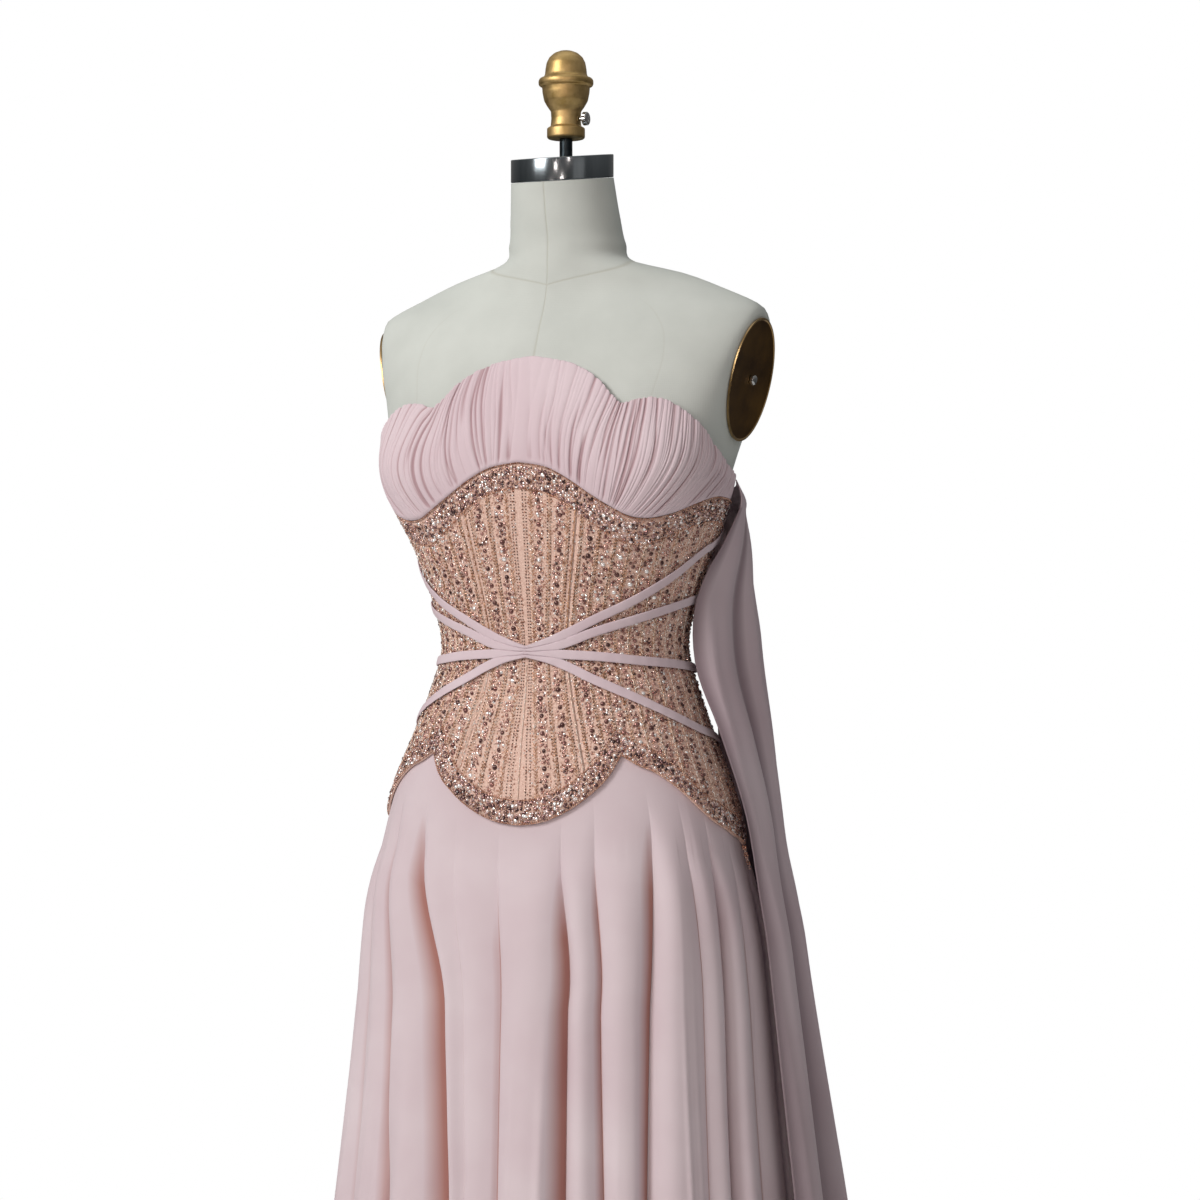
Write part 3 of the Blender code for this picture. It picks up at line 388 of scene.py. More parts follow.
def beadMaterial(name, stops, roughness, metallic, coat):
    # foiled cut glass and metal-lined beads: each bead has a tint of its own, and every facet mirrors the room
    material, tree = newMaterial(name, {
        "Roughness": roughness, "Metallic": metallic, "Coat Weight": coat, "Coat Roughness": 0.04,
    })
    tint = addNode(tree, "Attribute", {"attribute_name": "tint"}, out="Fac")
    return linkShader(material, {"Base Color": addNode(tree, "ValToRGB", {"stops": stops}, {"Fac": tint})})


def metalMaterial(name, dark, light, roughness, grain, relief, stretch=(1, 1, 1), metallic=1.0):
    # a metal with cloudy colour and an uneven surface: grain is the number of spots in a metre
    material, tree = newMaterial(name, {"Metallic": metallic})
    place = {"Vector": addNode(tree, "TexCoord", out="Object")}
    place = {"Vector": addNode(tree, "Mapping", {"Scale": stretch}, place)}
    cloudy = addNode(tree, "TexNoise", {"Scale": grain, "Detail": 6.0, "Roughness": 0.6}, place)
    base = addNode(tree, "ValToRGB", {"stops": ((0.3, dark), (0.7, light))}, {"Fac": cloudy})
    rough = addNode(tree, "MapRange", {"To Min": roughness * 0.75, "To Max": roughness * 1.3}, {"Value": cloudy})
    pits = addNode(tree, "TexNoise", {"Scale": grain * 8, "Detail": 4.0}, place)
    pitted = addNode(tree, "Bump", {"Strength": relief, "Distance": 0.0004}, {"Height": pits})
    return linkShader(material, {"Base Color": base, "Roughness": rough, "Normal": pitted})


linen = linenMaterial()
skirtChiffon = chiffonMaterial("blushChiffonLayers", "#d4c9cf", "#ab7c73")
bustChiffon = chiffonMaterial("gatheredChiffon", "#d7c9d0", "#b3999f", 0.1)
strapChiffon = chiffonMaterial("strapChiffon", "#d7cad1", "#a98a90", 0.08)
# the cape is the same chiffon in greyer, darker colours: painted shade, as it hangs on the side away from the key
# light
shadedCapeChiffon = chiffonMaterial("shadedCapeChiffon", "#bdb2b9", "#807178")
nudeNet = netMaterial()
cutGlass = beadMaterial("foiledCutGlass", [
    (0.0, "#4a2b29"), (0.25, "#8c5f5a"), (0.5, "#cd9f95"), (0.75, "#f0d3c9"), (1.0, "#ffffff")], 0.1, 0.6, 0.5)
borderGlass = beadMaterial("borderCutGlass", [
    (0.0, "#3e2628"), (0.25, "#795657"), (0.5, "#b7918f"), (0.75, "#e9d2d0"), (1.0, "#ffffff")], 0.1, 0.6, 0.5)
seedGlass = beadMaterial("goldLinedSeedBeads", [
    (0.0, "#a36a54"), (0.3, "#daa68d"), (0.65, "#f5d3c1"), (0.9, "#ffebde"), (1.0, "#ffffff")], 0.18, 0.3, 0.4)
dotGlass = beadMaterial("darkGoldSeedBeads", [(0.0, "#3d2519"), (0.7, "#74482f"), (1.0, "#b98660")], 0.22, 0.5, 0.3)
bugleGlass = beadMaterial("silverLinedBugles", [(0.0, "#8f5f3c"), (0.5, "#e3b48f"), (1.0, "#fff6ee")], 0.14, 0.3, 0.4)
castGold = metalMaterial("antiqueGoldCasting", "#a98e58", "#d4b882", 0.46, 70.0, 0.35)
polishedSteel = metalMaterial("polishedSteelBand", "#677075", "#858d92", 0.17, 40.0, 0.02, (1, 1, 0.15))
darkSteel = metalMaterial("bluedSteelRod", "#22282c", "#3a4347", 0.3, 60.0, 0.05)
brightSteel = metalMaterial("nickelledSteel", "#9a9c9c", "#c4c6c6", 0.25, 90.0, 0.05)
bronzePlate = metalMaterial("patinatedBronze", "#553c1c", "#80602f", 0.4, 30.0, 0.25)
bronzeRim = metalMaterial("rubbedBronzeEdge", "#8d7450", "#b59a70", 0.35, 60.0, 0.15)
castIron = metalMaterial("blackEnamelledIron", "#17171a", "#222226", 0.35, 120.0, 0.12, metallic=0.0)
poleSteel = metalMaterial("chromedTube", "#9fa3a6", "#b9bcbe", 0.16, 30.0, 0.02, (1, 1, 0.1))
print("materials made")


formSizes = {
    # seams: angle, strength and the height where they end
    "columns": 112, "seams": (
        (0.0, 0.45, 1.6), (35.0, 0.16, 1.42), (97.0, 0.4, 1.43), (180.0, 0.5, 1.6), (-97.0, 0.4, 1.43),
        (-35.0, 0.16, 1.42),
    ),
    "seamDepth": 0.0006, "seamWidth": 0.0008, "neckSeam": (1.4305, 1.456, 1.472), "neckSeamLevel": 1.445,
    # rows: first height, last height and count, and steps beside a seam in degrees and beside the neck in mm
    "torsoRows": ((0.78, 1.26, 60), (1.268, 1.438, 40)), "neckTop": (1.4515, 24),
    "besideSeam": (0.0, 0.25, 0.5, 0.9, 1.4, 2.2), "besideNeck": (-4, -2.2, -1.2, -0.6, 0.0, 0.6, 1.2, 2.2, 4),
}


def buildForm():
    # the figure with no offset; a bell-shaped groove runs down each seam and round the neck's base
    s = formSizes
    seams, strengths, ends = np.array(s["seams"]).T
    angles = np.linspace(-180.0, 180.0, s["columns"], endpoint=False)
    angles = angles[np.abs(wrap(angles[:, None] - seams)).min(axis=1) > 2.4]
    near = np.array(s["besideSeam"])
    angles = np.concatenate([angles, (seams[:, None] + np.concatenate([-near, near])).ravel()])
    angles = np.unique(np.round(wrap(angles), 4))
    level, width = s["neckSeamLevel"], s["seamWidth"]
    neckStart, neckCount = s["neckTop"]
    rows = np.concatenate([
        *(np.linspace(*span) for span in s["torsoRows"]), level + np.array(s["besideNeck"]) / 1000,
        np.linspace(neckStart, figureSizes["capBottom"] - figureSizes["seamGap"], neckCount),
    ])
    angleGrid, rowGrid = np.meshgrid(angles, rows)
    # near the neck's base the rows follow its seam, which rises from the front round the sides to the back
    front, flank, back = s["neckSeam"]
    turn = np.abs(np.radians(angleGrid))
    start = np.where(turn < math.pi / 2, front, back)
    seamHeight = start + (flank - start) * np.sin(turn) ** 1.2
    height = rowGrid + (seamHeight - level) * bell((rowGrid - level) / 0.035) * unit((rows[-1] - rowGrid) / 0.03)
    arc = np.abs(wrap(angleGrid[..., None] - seams)) * degreeLength(angleGrid, height)[..., None]
    groove = strengths * bell(arc / width) * unit((ends - rowGrid[..., None]) / 0.02)
    groove = np.maximum(groove.max(axis=-1), 0.45 * bell((rowGrid - level) / width))
    points, normal, _ = surfaceFrame(figure, angleGrid, height)
    form = loftMesh("dressFormBody", points - normal * (s["seamDepth"] * groove)[..., None], 60.0)
    paintPoints(form, "seam", groove, [0, 0])
    finishPiece(form, linen, "linen", "form_torso")


def turned(profile, segments):
    # a profile of (radius, height) turned about the upright axis
    profile, turn = np.asarray(profile, dtype=float), wholeTurn(segments)
    return stacked(profile[:, :1] * np.cos(turn), profile[:, :1] * np.sin(turn), profile[:, 1:])


def roundCorners(profile, reach, steps=4):
    # each inner corner of a profile is replaced by a short curve that starts and ends at the reach from it
    profile = np.asarray(profile, dtype=float)
    result = [profile[:1]]
    t = np.linspace(0.0, 1.0, steps + 1)[:, None]
    for before, corner, after in zip(profile[:-2], profile[1:-1], profile[2:]):
        back, ahead = before - corner, after - corner
        cut = min(reach, 0.45 * np.linalg.norm(back), 0.45 * np.linalg.norm(ahead))
        start, end = corner + normalised(back) * cut, corner + normalised(ahead) * cut
        result.append((1 - t) ** 2 * start + 2 * t * (1 - t) * corner + t * t * end)
    return np.concatenate([*result, profile[-1:]])


hardwareSizes = {
    "capHeight": 0.023, "capHalfWidth": 0.052, "capHalfDepth": 0.047, "capRim": 0.003, "capRecess": 0.005,
    "rod": 0.0065, "finialBottom": 1.581, "screwHeight": 1.6,
    "pole": 0.016, "base": 0.19, "baseThickness": 0.014, "hub": 0.032, "hubHeight": 0.05,
    # finial radius and height
    "finial": (
        (0.0078, 1.581), (0.0178, 1.581), (0.019, 1.5825), (0.019, 1.5915), (0.0154, 1.5935), (0.0147, 1.601),
        (0.0152, 1.6085), (0.0185, 1.613), (0.0219, 1.619), (0.0235, 1.627), (0.024, 1.633), (0.0268, 1.634),
        (0.0275, 1.636), (0.0275, 1.639), (0.0262, 1.6412), (0.0226, 1.6424), (0.0211, 1.645), (0.0205, 1.651),
        (0.0194, 1.657), (0.0168, 1.6622), (0.012, 1.6665), (0.0062, 1.6688), (0.001, 1.6695),
    ),
    "plateHalfDepth": 0.042, "plateHalfHeight": 0.06, "plateThickness": 0.003,
}


def buildHardware():
    # neck band, finial with its rod and screw, base and pole: profiles swept round an ellipse or a circle
    h = hardwareSizes
    gap, middleY, bottom = (figureSizes[key] for key in ("seamGap", "capCentreY", "capBottom"))
    top = bottom + h["capHeight"]
    recess = top - h["capRecess"]
    # an oval band: its profile's growth and height, swept round an ellipse and tilted with the neck
    profile = roundCorners([
        (-0.012, bottom), (0.0, bottom), (0.0, top), (-h["capRim"], top), (-h["capRim"] - 0.0006, recess),
        (-0.03, recess),
    ], 0.0011)
    turn, grow = wholeTurn(128), profile[:, :1]
    band = stacked((h["capHalfWidth"] + grow) * np.cos(turn), middleY + (h["capHalfDepth"] + grow) * np.sin(turn),
                   profile[:, 1:])
    band[..., 2] += neckSlope * (band[..., 1] - middleY)
    rod = turned([(h["rod"], recess - neckSlope * middleY), (h["rod"], h["finialBottom"] - gap)], 48)
    rod[0, :, 2] += neckSlope * rod[0, :, 1] + gap
    # the set screw lies along the wearer's left: a shaft, a flange and a ribbed thumb head
    head = roundCorners([
        (0.002, 0.0153), (0.002, 0.0192), (0.0068, 0.0192), (0.0068, 0.0232), (0.0056, 0.0242), (0.003, 0.0242),
        (0.0026, 0.0236),
    ], 0.0005, 3)
    screw = turned(head, 72)
    ribs = 1.0 - 0.05 * (0.5 + 0.5 * np.cos(np.arange(72) * 2 * math.pi / 4.0))
    screw[..., :2] *= np.where(head[:, :1] > 0.006, ribs, 1.0)[..., None]
    sideways = stacked(screw[..., 2], screw[..., 0], h["screwHeight"] + screw[..., 1])
    base = turned(roundCorners([
        (0.15, 0.0), (h["base"], 0.0), (h["base"], h["baseThickness"] - 0.001),
        (h["base"] - 0.006, h["baseThickness"]), (h["hub"] + 0.01, h["baseThickness"]),
        (h["hub"], h["baseThickness"] + 0.01), (h["hub"] - 0.003, h["hubHeight"]), (0.02, h["hubHeight"]),
    ], 0.0025), 128)
    pole = turned([(h["pole"], h["hubHeight"] + gap), (h["pole"], 0.78 - gap)], 64)
    finial = turned(roundCorners(h["finial"], 0.0012, 3), 72)
    for name, points, sharp, material, slot, node in (
        ("neckBand", band, 35.0, polishedSteel, "steel", "neck_cap"),
        ("finialCasting", finial, 50.0, castGold, "antique_gold", "finial"),
        ("finialRod", rod, 35.0, darkSteel, "dark_steel", "finial_rod"),
        ("finialThumbScrew", sideways, 30.0, brightSteel, "steel", "finial_screw"),
        ("standBase", base, 40.0, castIron, "painted_iron", "stand_base"),
        ("standPole", pole, 35.0, poleSteel, "steel", "stand_pole"),
    ):
        finishPiece(loftMesh(name, points, sharp), material, slot, node)


def buildArmPlate(side, word):
    # an oval plate: rings of the same ellipse, scaled and lifted along the flat side's normal
    h, gap, thickness = hardwareSizes, figureSizes["seamGap"], hardwareSizes["plateThickness"]
    middle = np.array(figureSizes["plateCentre"])
    normal = normalised(np.array([1.0, -figureSizes["plateTurn"], -figureSizes["plateLean"]]))
    turn = wholeTurn(112)
    # share of the ellipse and lift
    profile = roundCorners([
        (0.8, gap), (0.985, gap), (1.0, gap + 0.0006), (1.0, thickness - 0.0004), (0.975, thickness),
        (0.955, thickness - 0.001), (0.2, thickness - 0.001),
    ], 0.004)
    y = middle[1] + np.cos(turn) * h["plateHalfDepth"] * profile[:, :1]
    z = middle[2] + np.sin(turn) * h["plateHalfHeight"] * profile[:, :1]
    points = stacked(platePlane(y, z), y, z) + normal * profile[:, 1, None, None]
    points[..., 0] *= side
    plate = finishPiece(loftMesh("armPlate_" + word, points[:, ::side], 40.0), bronzePlate, "bronze",
                        "arm_plate_" + word)
    plate.data.materials.append(bronzeRim)
    onRim = np.zeros(len(plate.data.polygons), dtype=np.int32)
    ringFaces = np.repeat(0.5 * (profile[:-1, 0] + profile[1:, 0]) > 0.962, len(turn))
    onRim[:len(ringFaces)] = ringFaces
    plate.data.polygons.foreach_set("material_index", onRim)

    along = normalised(np.cross(normal, (0.0, 0.0, 1.0)))
    turn = wholeTurn(40)[:, None]
    bolt = roundCorners([(0.004, -0.001), (0.005, -0.001), (0.005, 0.0026), (0.003, 0.0038), (0.0008, 0.004)],
                        0.0006, 3)[:, :, None, None]
    circle = np.cos(turn) * along + np.sin(turn) * np.cross(along, normal)
    points = middle + normal * (thickness + gap) + bolt[:, 1] * normal + bolt[:, 0] * circle
    points[..., 0] *= side
    finishPiece(loftMesh("armBolt_" + word, points[:, ::-side]), brightSteel, "steel", "arm_bolt_" + word)


sides = ((1, "left"), (-1, "right"))
buildForm()
buildHardware()
for sideSign, word in sides:
    buildArmPlate(sideSign, word)
print("dress form and its hardware made")


bustSizes = {
    "columns": 1240, "rows": 29, "roll": 0.0011, "stand": 0.0022, "puff": 0.0009, "seamInset": 0.00045,
    "fullness": 1.3, "backColumns": 100, "seed": 11, "seedLeft": 21, "seedRight": 22,
    # layers of creases: how many on the front, depth, half width in degrees and wander in degrees
    "layers": ((88, 0.0018, 0.46, 0.6), (170, 0.001, 0.24, 0.6)), "backLayers": ((26, 0.0012, 0.8, 0.5),),
    # bottom, middle and top angle of guide gathers, which bow round the cups and fan out of the seam's low points
    "guides": (
        (-95, -95, -95), (-64, -72, -68), (-48, -58, -50), (-40, -47, -38), (-30.5, -34, -24), (-20.8, -23.5, -16.5),
        (-10.5, -13, -11.5), (-2.8, -1.5, -2.8), (5.5, 3.5, 4.0), (13, 11, 12), (20, 20.5, 22), (27, 28, 27),
        (31, 37, 35), (37, 48, 48), (48, 62, 64), (64, 77, 79), (95, 95, 95),
    ),
}


def gatherRelief(share, upShare, layers, seed):
    # layers of narrow cusped creases of uneven depth, reach and drift, with soft puffs left between them
    random = np.random.default_rng(seed)
    low, high = float(share.min()), float(share.max())
    relief = np.zeros(share.shape)
    for count, depth, width, wander in layers:
        pitch = (high - low) / count
        for spot in np.linspace(low, high, count + 2)[1:-1] + random.uniform(-0.42, 0.42, count) * pitch:
            strength = random.uniform(0.35, 1.0)
            phase = upShare * random.uniform(0.6, 1.6) + random.uniform(0, 2)
            drift = wander * random.uniform(-1, 1) * np.sin(math.pi * phase)
            fade = 1.0
            kind = random.integers(0, 4)
            if kind < 2:
                middle = random.uniform(0.25, 0.75)
                fade = 1.0 / (1.0 + np.exp((middle - upShare) * (9.0 if kind else -9.0)))
            spread = width * random.uniform(0.7, 1.5)
            relief -= depth * strength * fade * np.exp(-(np.abs(share - spot - drift) / spread) ** 1.3)
    return relief


side, princess = figureSizes["sideSeam"], figureSizes["princess"]
# half the gap at each seam, in degrees
sideGap, princessGap, backGap = (
    0.5 * figureSizes["seamGap"] / float(degreeLength(*spot)) for spot in ((95.0, 1.1), (17.0, 1.07), (180.0, 1.07))
)
frontSpan = (-side + sideGap, side - sideGap)
backSpans = {"Left": (side + sideGap, 180 - backGap), "Right": (backGap - 180, -side - sideGap)}


def buildBust(name, span, node, guides, layers, columns, seed, stand):
    # columns follow the guide gathers; the outer face sinks in the creases and rolls over at the top edge
    s = bustSizes
    guides = np.asarray(guides, dtype=float)
    share = np.linspace(*span, columns)
    bottom, top = (np.interp(share, guides[:, 1], guides[:, k]) for k in (0, 2))
    up = np.linspace(0.0, 1.0, s["rows"])[:, None]
    angle = bottom * (1 - up) * (1 - 2 * up) + share * 4 * up * (1 - up) + top * up * (2 * up - 1)
    angle[:, 0], angle[:, -1] = span
    low = edgeHeight(bustSeam, angle) + s["seamInset"]
    relief = gatherRelief(*np.broadcast_arrays(share, up), layers, seed) * np.clip(up / 0.05, 0.25, 1.0)
    # the top edge dips where a crease reaches it
    height = low + (edgeHeight(neckline, angle) - low) * up + relief * 0.8 * up ** 8
    outward = cloth["bustOuter"] + stand * (s["stand"] + s["puff"] * np.sin(math.pi * up) ** 0.6) + relief
    # the top edge is turned in: the last rows follow a half circle of the roll's radius
    turn = np.linspace(0.0, math.pi, 6)[1:, None]
    rim = height[-1]
    height = np.concatenate([height, rim + s["roll"] * np.sin(turn)])
    outward = np.concatenate([outward, outward[-1] - s["roll"] * (1.0 - np.cos(turn))])
    # fold is painted shade: the colour darkens with a crease's depth, fully at 1.5 mm
    angle, fold = (np.concatenate([part, np.repeat(part[-1:], 5, axis=0)])
                   for part in (angle, unit(1.0 + relief / 0.0015)))
    innerOut = np.clip(outward - 0.0008, cloth["bustInner"], cloth["bustInner"] + 0.0022)
    inner = figure(angle, np.minimum(height, rim - 0.0002), np.minimum(innerOut, outward - 0.0003))
    piece = wallMesh(name, inner, figure(angle, height, outward))
    # painted shade on both faces, the inner face darker still
    paintPoints(piece, "fold", fold, fold * 0.4)
    finishPiece(piece, bustChiffon, "chiffon", node)
    rows = slice(s["rows"])
    shown = figure(angle[rows], height[rows], cloth["bustOuter"])
    declareCloth(shown, s["fullness"])


buildBust("bustFrontGathered", frontSpan, "bust_front", bustSizes["guides"], bustSizes["layers"],
          bustSizes["columns"], bustSizes["seed"], 1.0)
for word, span in backSpans.items():
    buildBust("bustBack" + word, span, "bust_back_" + word.lower(), [(edge,) * 3 for edge in span],
              bustSizes["backLayers"], bustSizes["backColumns"], bustSizes["seed" + word], 0.0)
print("bust pieces made")


corsetSizes = {"rows": 26, "seamInset": 0.00045}


def buildCorset(name, start, end, node):
    # a smooth thin wall on the figure, from the lower edge up to the seam under the bust, a column to a degree
    angles = np.linspace(start, end, int(round(end - start)) + 1)
    peak = lowerPeak if end > 0 else -lowerPeak
    if start < peak < end:
        angles[np.argmin(np.abs(angles - peak))] = peak
    low, high = lowerEdge(angles), edgeHeight(bustSeam, angles) - corsetSizes["seamInset"]
    height = low + (high - low) * np.linspace(0.0, 1.0, corsetSizes["rows"])[:, None]
    outer = figure(angles, height, cloth["corsetOuter"])
    panel = wallMesh(name, figure(angles, height, cloth["corsetInner"]), outer)
    finishPiece(panel, nudeNet, "beaded_mesh", node)
    declareCloth(outer)


buildCorset("corsetFrontCentre", -princess + princessGap, princess - princessGap, "corset_front_centre")
buildCorset("corsetFrontLeft", princess + princessGap, frontSpan[1], "corset_front_left")
buildCorset("corsetFrontRight", frontSpan[0], -princess - princessGap, "corset_front_right")
for word, span in backSpans.items():
    buildCorset("corsetBack" + word, *span, "corset_back_" + word.lower())
print("corset panels made")


def capFaces(offset, sides, down=False):
    # a flat face over a ring of points, as a fan from its first point
    j = np.arange(1, sides - 1)
    return stacked(0, j, j + 1)[:, ::-1 if down else 1] + offset


def cutStone(sides, girdle=0.1, table=0.52, crown=0.55):
    # a cut stone seen from above: a wide girdle ring and a small flat table, unit radius
    x, y = np.cos(wholeTurn(sides)), np.sin(wholeTurn(sides))
    points = np.concatenate([stacked(x, y, girdle), stacked(x * table, y * table, crown)])
    j, k = ringPairs(sides)
    caps = np.concatenate([capFaces(0, sides, True), capFaces(sides, sides)])
    return points, stacked(j, k, sides + k, sides + j), caps


def roundBead(sides):
    # a small dome on a flat foot: one ring and one tip, unit radius
    points = np.concatenate([stacked(np.cos(wholeTurn(sides)), np.sin(wholeTurn(sides)), 0.25), [[0, 0, 1.05]]])
    faces = np.concatenate([stacked(sides, *ringPairs(sides)), capFaces(0, sides, True)])
    return points, np.zeros((0, 4), int), faces


def tubeBead():
    # a short square tube lying along x, unit half length, with its edges up
    ring = np.array([[0, 1, 0.5], [0, 0, 1.0], [0, -1, 0.5], [0, 0, 0.0]])
    j, k = ringPairs(4)
    faces = np.concatenate([stacked(4 + j, 4 + k, k, j), [[0, 1, 2, 3], [7, 6, 5, 4]]])
    return np.concatenate([ring + [-1, 0, 0], ring + [1, 0, 0]]), faces, np.zeros((0, 3), int)


def scatter(name, shape, spots, sizes, turns, tints, material, smooth=False, lift=0.0, tilt=0.0):
    # one joined mesh: the shape's points, scaled, tilted, spun about the surface's normal and set on the corset
    points, quads, triangles = shape
    count = len(spots)
    centre, normal, up = surfaceFrame(lambda a, h: figure(a, h, cloth["corsetOuter"]), spots[:, 0], spots[:, 1])
    across = np.cross(up, normal)
    c, s = np.cos(turns)[:, None], np.sin(turns)[:, None]
    axes = np.stack([across * c + up * s, up * c - across * s, normal], axis=1)
    local = points * np.reshape(sizes, (-1, 1, np.size(sizes[0])))
    slope = np.random.default_rng(count).normal(0.0, tilt, (count, 1, 2))
    local[..., 2] += (local[..., :2] * slope).sum(axis=-1) + lift
    world = centre[:, None, :] + local @ axes
    shift = (np.arange(count) * len(points))[:, None, None]
    item = makeMesh(name, world, [(faces + shift).reshape(-1, faces.shape[1]) for faces in (quads, triangles)])
    if smooth:
        item.data.shade_smooth()
    paintPoints(item, "tint", np.repeat(tints, len(points)))
    finishPiece(item, material, "beaded_mesh")


beadSizes = {
    # rows of large stones: angle from centre front and where the first one sits in the repeat
    "rows": (
        (4.7, 0.0), (11.4, 0.5), (22.6, 0.2), (29.2, 0.7), (36.2, 0.1), (43.2, 0.55), (50.5, 0.3), (58.0, 0.8),
        (66.0, 0.15), (74.5, 0.6), (84.0, 0.35), (91.0, 0.9), (101.0, 0.2), (113.0, 0.7), (125.0, 0.1),
        (137.0, 0.5), (149.0, 0.3), (161.0, 0.8), (173.0, 0.2),
    ),
    "repeat": 0.0168,
    # angles of the dotted lines beside the rows
    "dotLines": (0.75, 1.45, 7.4, 8.5, 14.9, 18.6, 19.5, 25.4, 26.3, 32.4, 33.2, 39.6, 46.8, 54.2),
    # bare strips: angle and half width in degrees
    "bare": ((0.0, 0.4), (7.9, 0.2), (14.9, 0.2), (18.0, 0.25), (25.9, 0.3), (32.8, 0.2)),
    "bugleLines": (16.4, 46.5, 54.4, 62.0, 70.4, 79.2, 87.5),
    # strips filled with short bugles set in a herringbone
    "strips": (2.6, 8.0, 14.0, 19.0, 25.9, 32.7, 39.7, 46.9, 54.3, 62.0),
    # step along each kind of line, and spacing, seed and unevenness of each field
    "boneStep": 0.0031, "dotStep": 0.003, "dashStep": 0.0068, "edgeStep": 0.0021, "fieldHeights": (0.9, 1.25),
    "clusterField": (0.003, 31, 0.3), "fillerField": (0.0026, 37, 0.34), "borderHeights": (0.875, 1.262),
    "stoneField": (0.0036, 41, 0.3), "seedField": (0.0028, 43, 0.36), "backHeights": (0.9, 1.23),
    "backField": ((95, 0.005, 51, 0.33), (-180, 0.005, 52, 0.33)), "seed": 5,
    # how far medium stones reach from a row, the room kept round large ones, and where the sides' filling begins
    "rowReach": 0.0048, "stoneRoom": 0.0038, "fillerRoom": 0.0034, "fillerReach": 0.0056, "backRoom": 0.0036,
    "sideFrom": 42.0, "boneAside": 0.001, "lowDashTop": 1.06, "borderRadii": (0.0015, 0.0019, 0.0024),
    "borderShares": (0.35, 0.4, 0.25), "stoneInset": 0.0024, "seedInset": 0.0016, "seedOver": 0.002,
    # half length, half width and height of the short and the long bugles
    "bone": (0.0016, 0.00045, 0.001), "dash": (0.0029, 0.00055, 0.0011),
}
beadKinds = {
    # shape, radius, its smallest and largest share, two powers of the tint's spread, share of clear ones, lift,
    # tilt and glass
    "rowStones": (cutStone(8), 0.00265, 0.85, 1.1, 0.8, 2.6, 0.1, 0.0, 0.22, cutGlass),
    "clusterStones": (cutStone(6), 0.0018, 0.7, 1.1, 1.3, 1.3, 0.12, 0.0, 0.3, cutGlass),
    "fillerBeads": (roundBead(4), 0.00105, 0.7, 1.15, 1.3, 1.1, 0.08, 0.0, 0.0, seedGlass),
    "dottedLines": (roundBead(4), 0.00085, 0.9, 1.15, 1.3, 2.2, None, 0.0002, 0.0, dotGlass),
    "borderStones": (cutStone(6), 1.0, 0.9, 1.1, 0.8, 0.9, 0.12, 0.0, 0.32, borderGlass),
    "borderSeeds": (roundBead(4), 0.00115, 0.7, 1.1, 1.3, 1.6, 0.05, 0.0004, 0.0, seedGlass),
    "edgeLines": (roundBead(5), 0.001, 0.92, 1.08, None, 0.6, None, 0.0006, 0.0, seedGlass),
    "backFillerBeads": (roundBead(4), 0.0015, 0.7, 1.1, 1.6, 1.4, None, 0.0, 0.0, seedGlass),
}
bothSides = (-1, 1)


def upperLine(angle):
    # the upper edge of the beading, just below the seam under the bust
    return edgeHeight(bustSeam, angle) - 0.0005


def inField(spots):
    # between the two borders
    angle, height = spots.T
    return (height > lowerEdge(angle) + cloth["borderDepth"]) & (height < upperLine(angle) - cloth["borderDepth"])


def inBorder(spots, inset, depth):
    # between the inset and the depth, below the upper edge or above the lower one
    angle, height = spots.T
    upper, lower = upperLine(angle) - height, height - lowerEdge(angle)
    return ((upper > inset) & (upper < depth)) | ((lower > inset) & (lower < depth))


def lineSpots(lines, step):
    # evenly spaced heights up the field at each line's angle; lines holds angle, share of a step, and a mark
    parts = []
    for angle, phase, mark in lines:
        heights = (np.arange(math.floor(0.85 / step), math.ceil(1.3 / step)) + phase) * step
        parts.append(stacked(float(angle), heights, float(mark)))
    spots = np.concatenate(parts)
    return spots[inField(spots[:, :2])]


def lattice(start, end, levels, step, seed, jitter):
    # a jittered triangular lattice in metres of cloth, turned into angle and height
    random = np.random.default_rng(seed)
    angles, parts = np.linspace(start, end, 400), []
    for number, height in enumerate(np.arange(*levels, step * 0.87)):
        lengths = degreeLength(angles, height, cloth["corsetOuter"])
        arc = np.concatenate([[0], np.cumsum(0.5 * (lengths[1:] + lengths[:-1]) * np.diff(angles))])
        spots = np.arange(0.5 * (number % 2) * step, arc[-1], step)
        spots = spots + random.uniform(-jitter, jitter, len(spots)) * step
        parts.append(stacked(np.interp(spots, arc, angles),
                             height + random.uniform(-jitter, jitter, len(spots)) * step))
    return np.concatenate(parts)


def nearestRow(spots):
    # distance in metres to the nearest row of large stones, and to the nearest stone in it
    rows, repeat = np.array(beadSizes["rows"]), beadSizes["repeat"]
    gap = mirrored(spots[:, 0])[:, None] - rows[:, 0]
    which = np.abs(gap).argmin(axis=1)
    across = gap[np.arange(len(gap)), which] * degreeLength(*spots.T, cloth["corsetOuter"])
    along = (spots[:, 1] / repeat - rows[which, 1] + 0.5) % 1.0 - 0.5
    return np.abs(across), np.hypot(across, along * repeat)


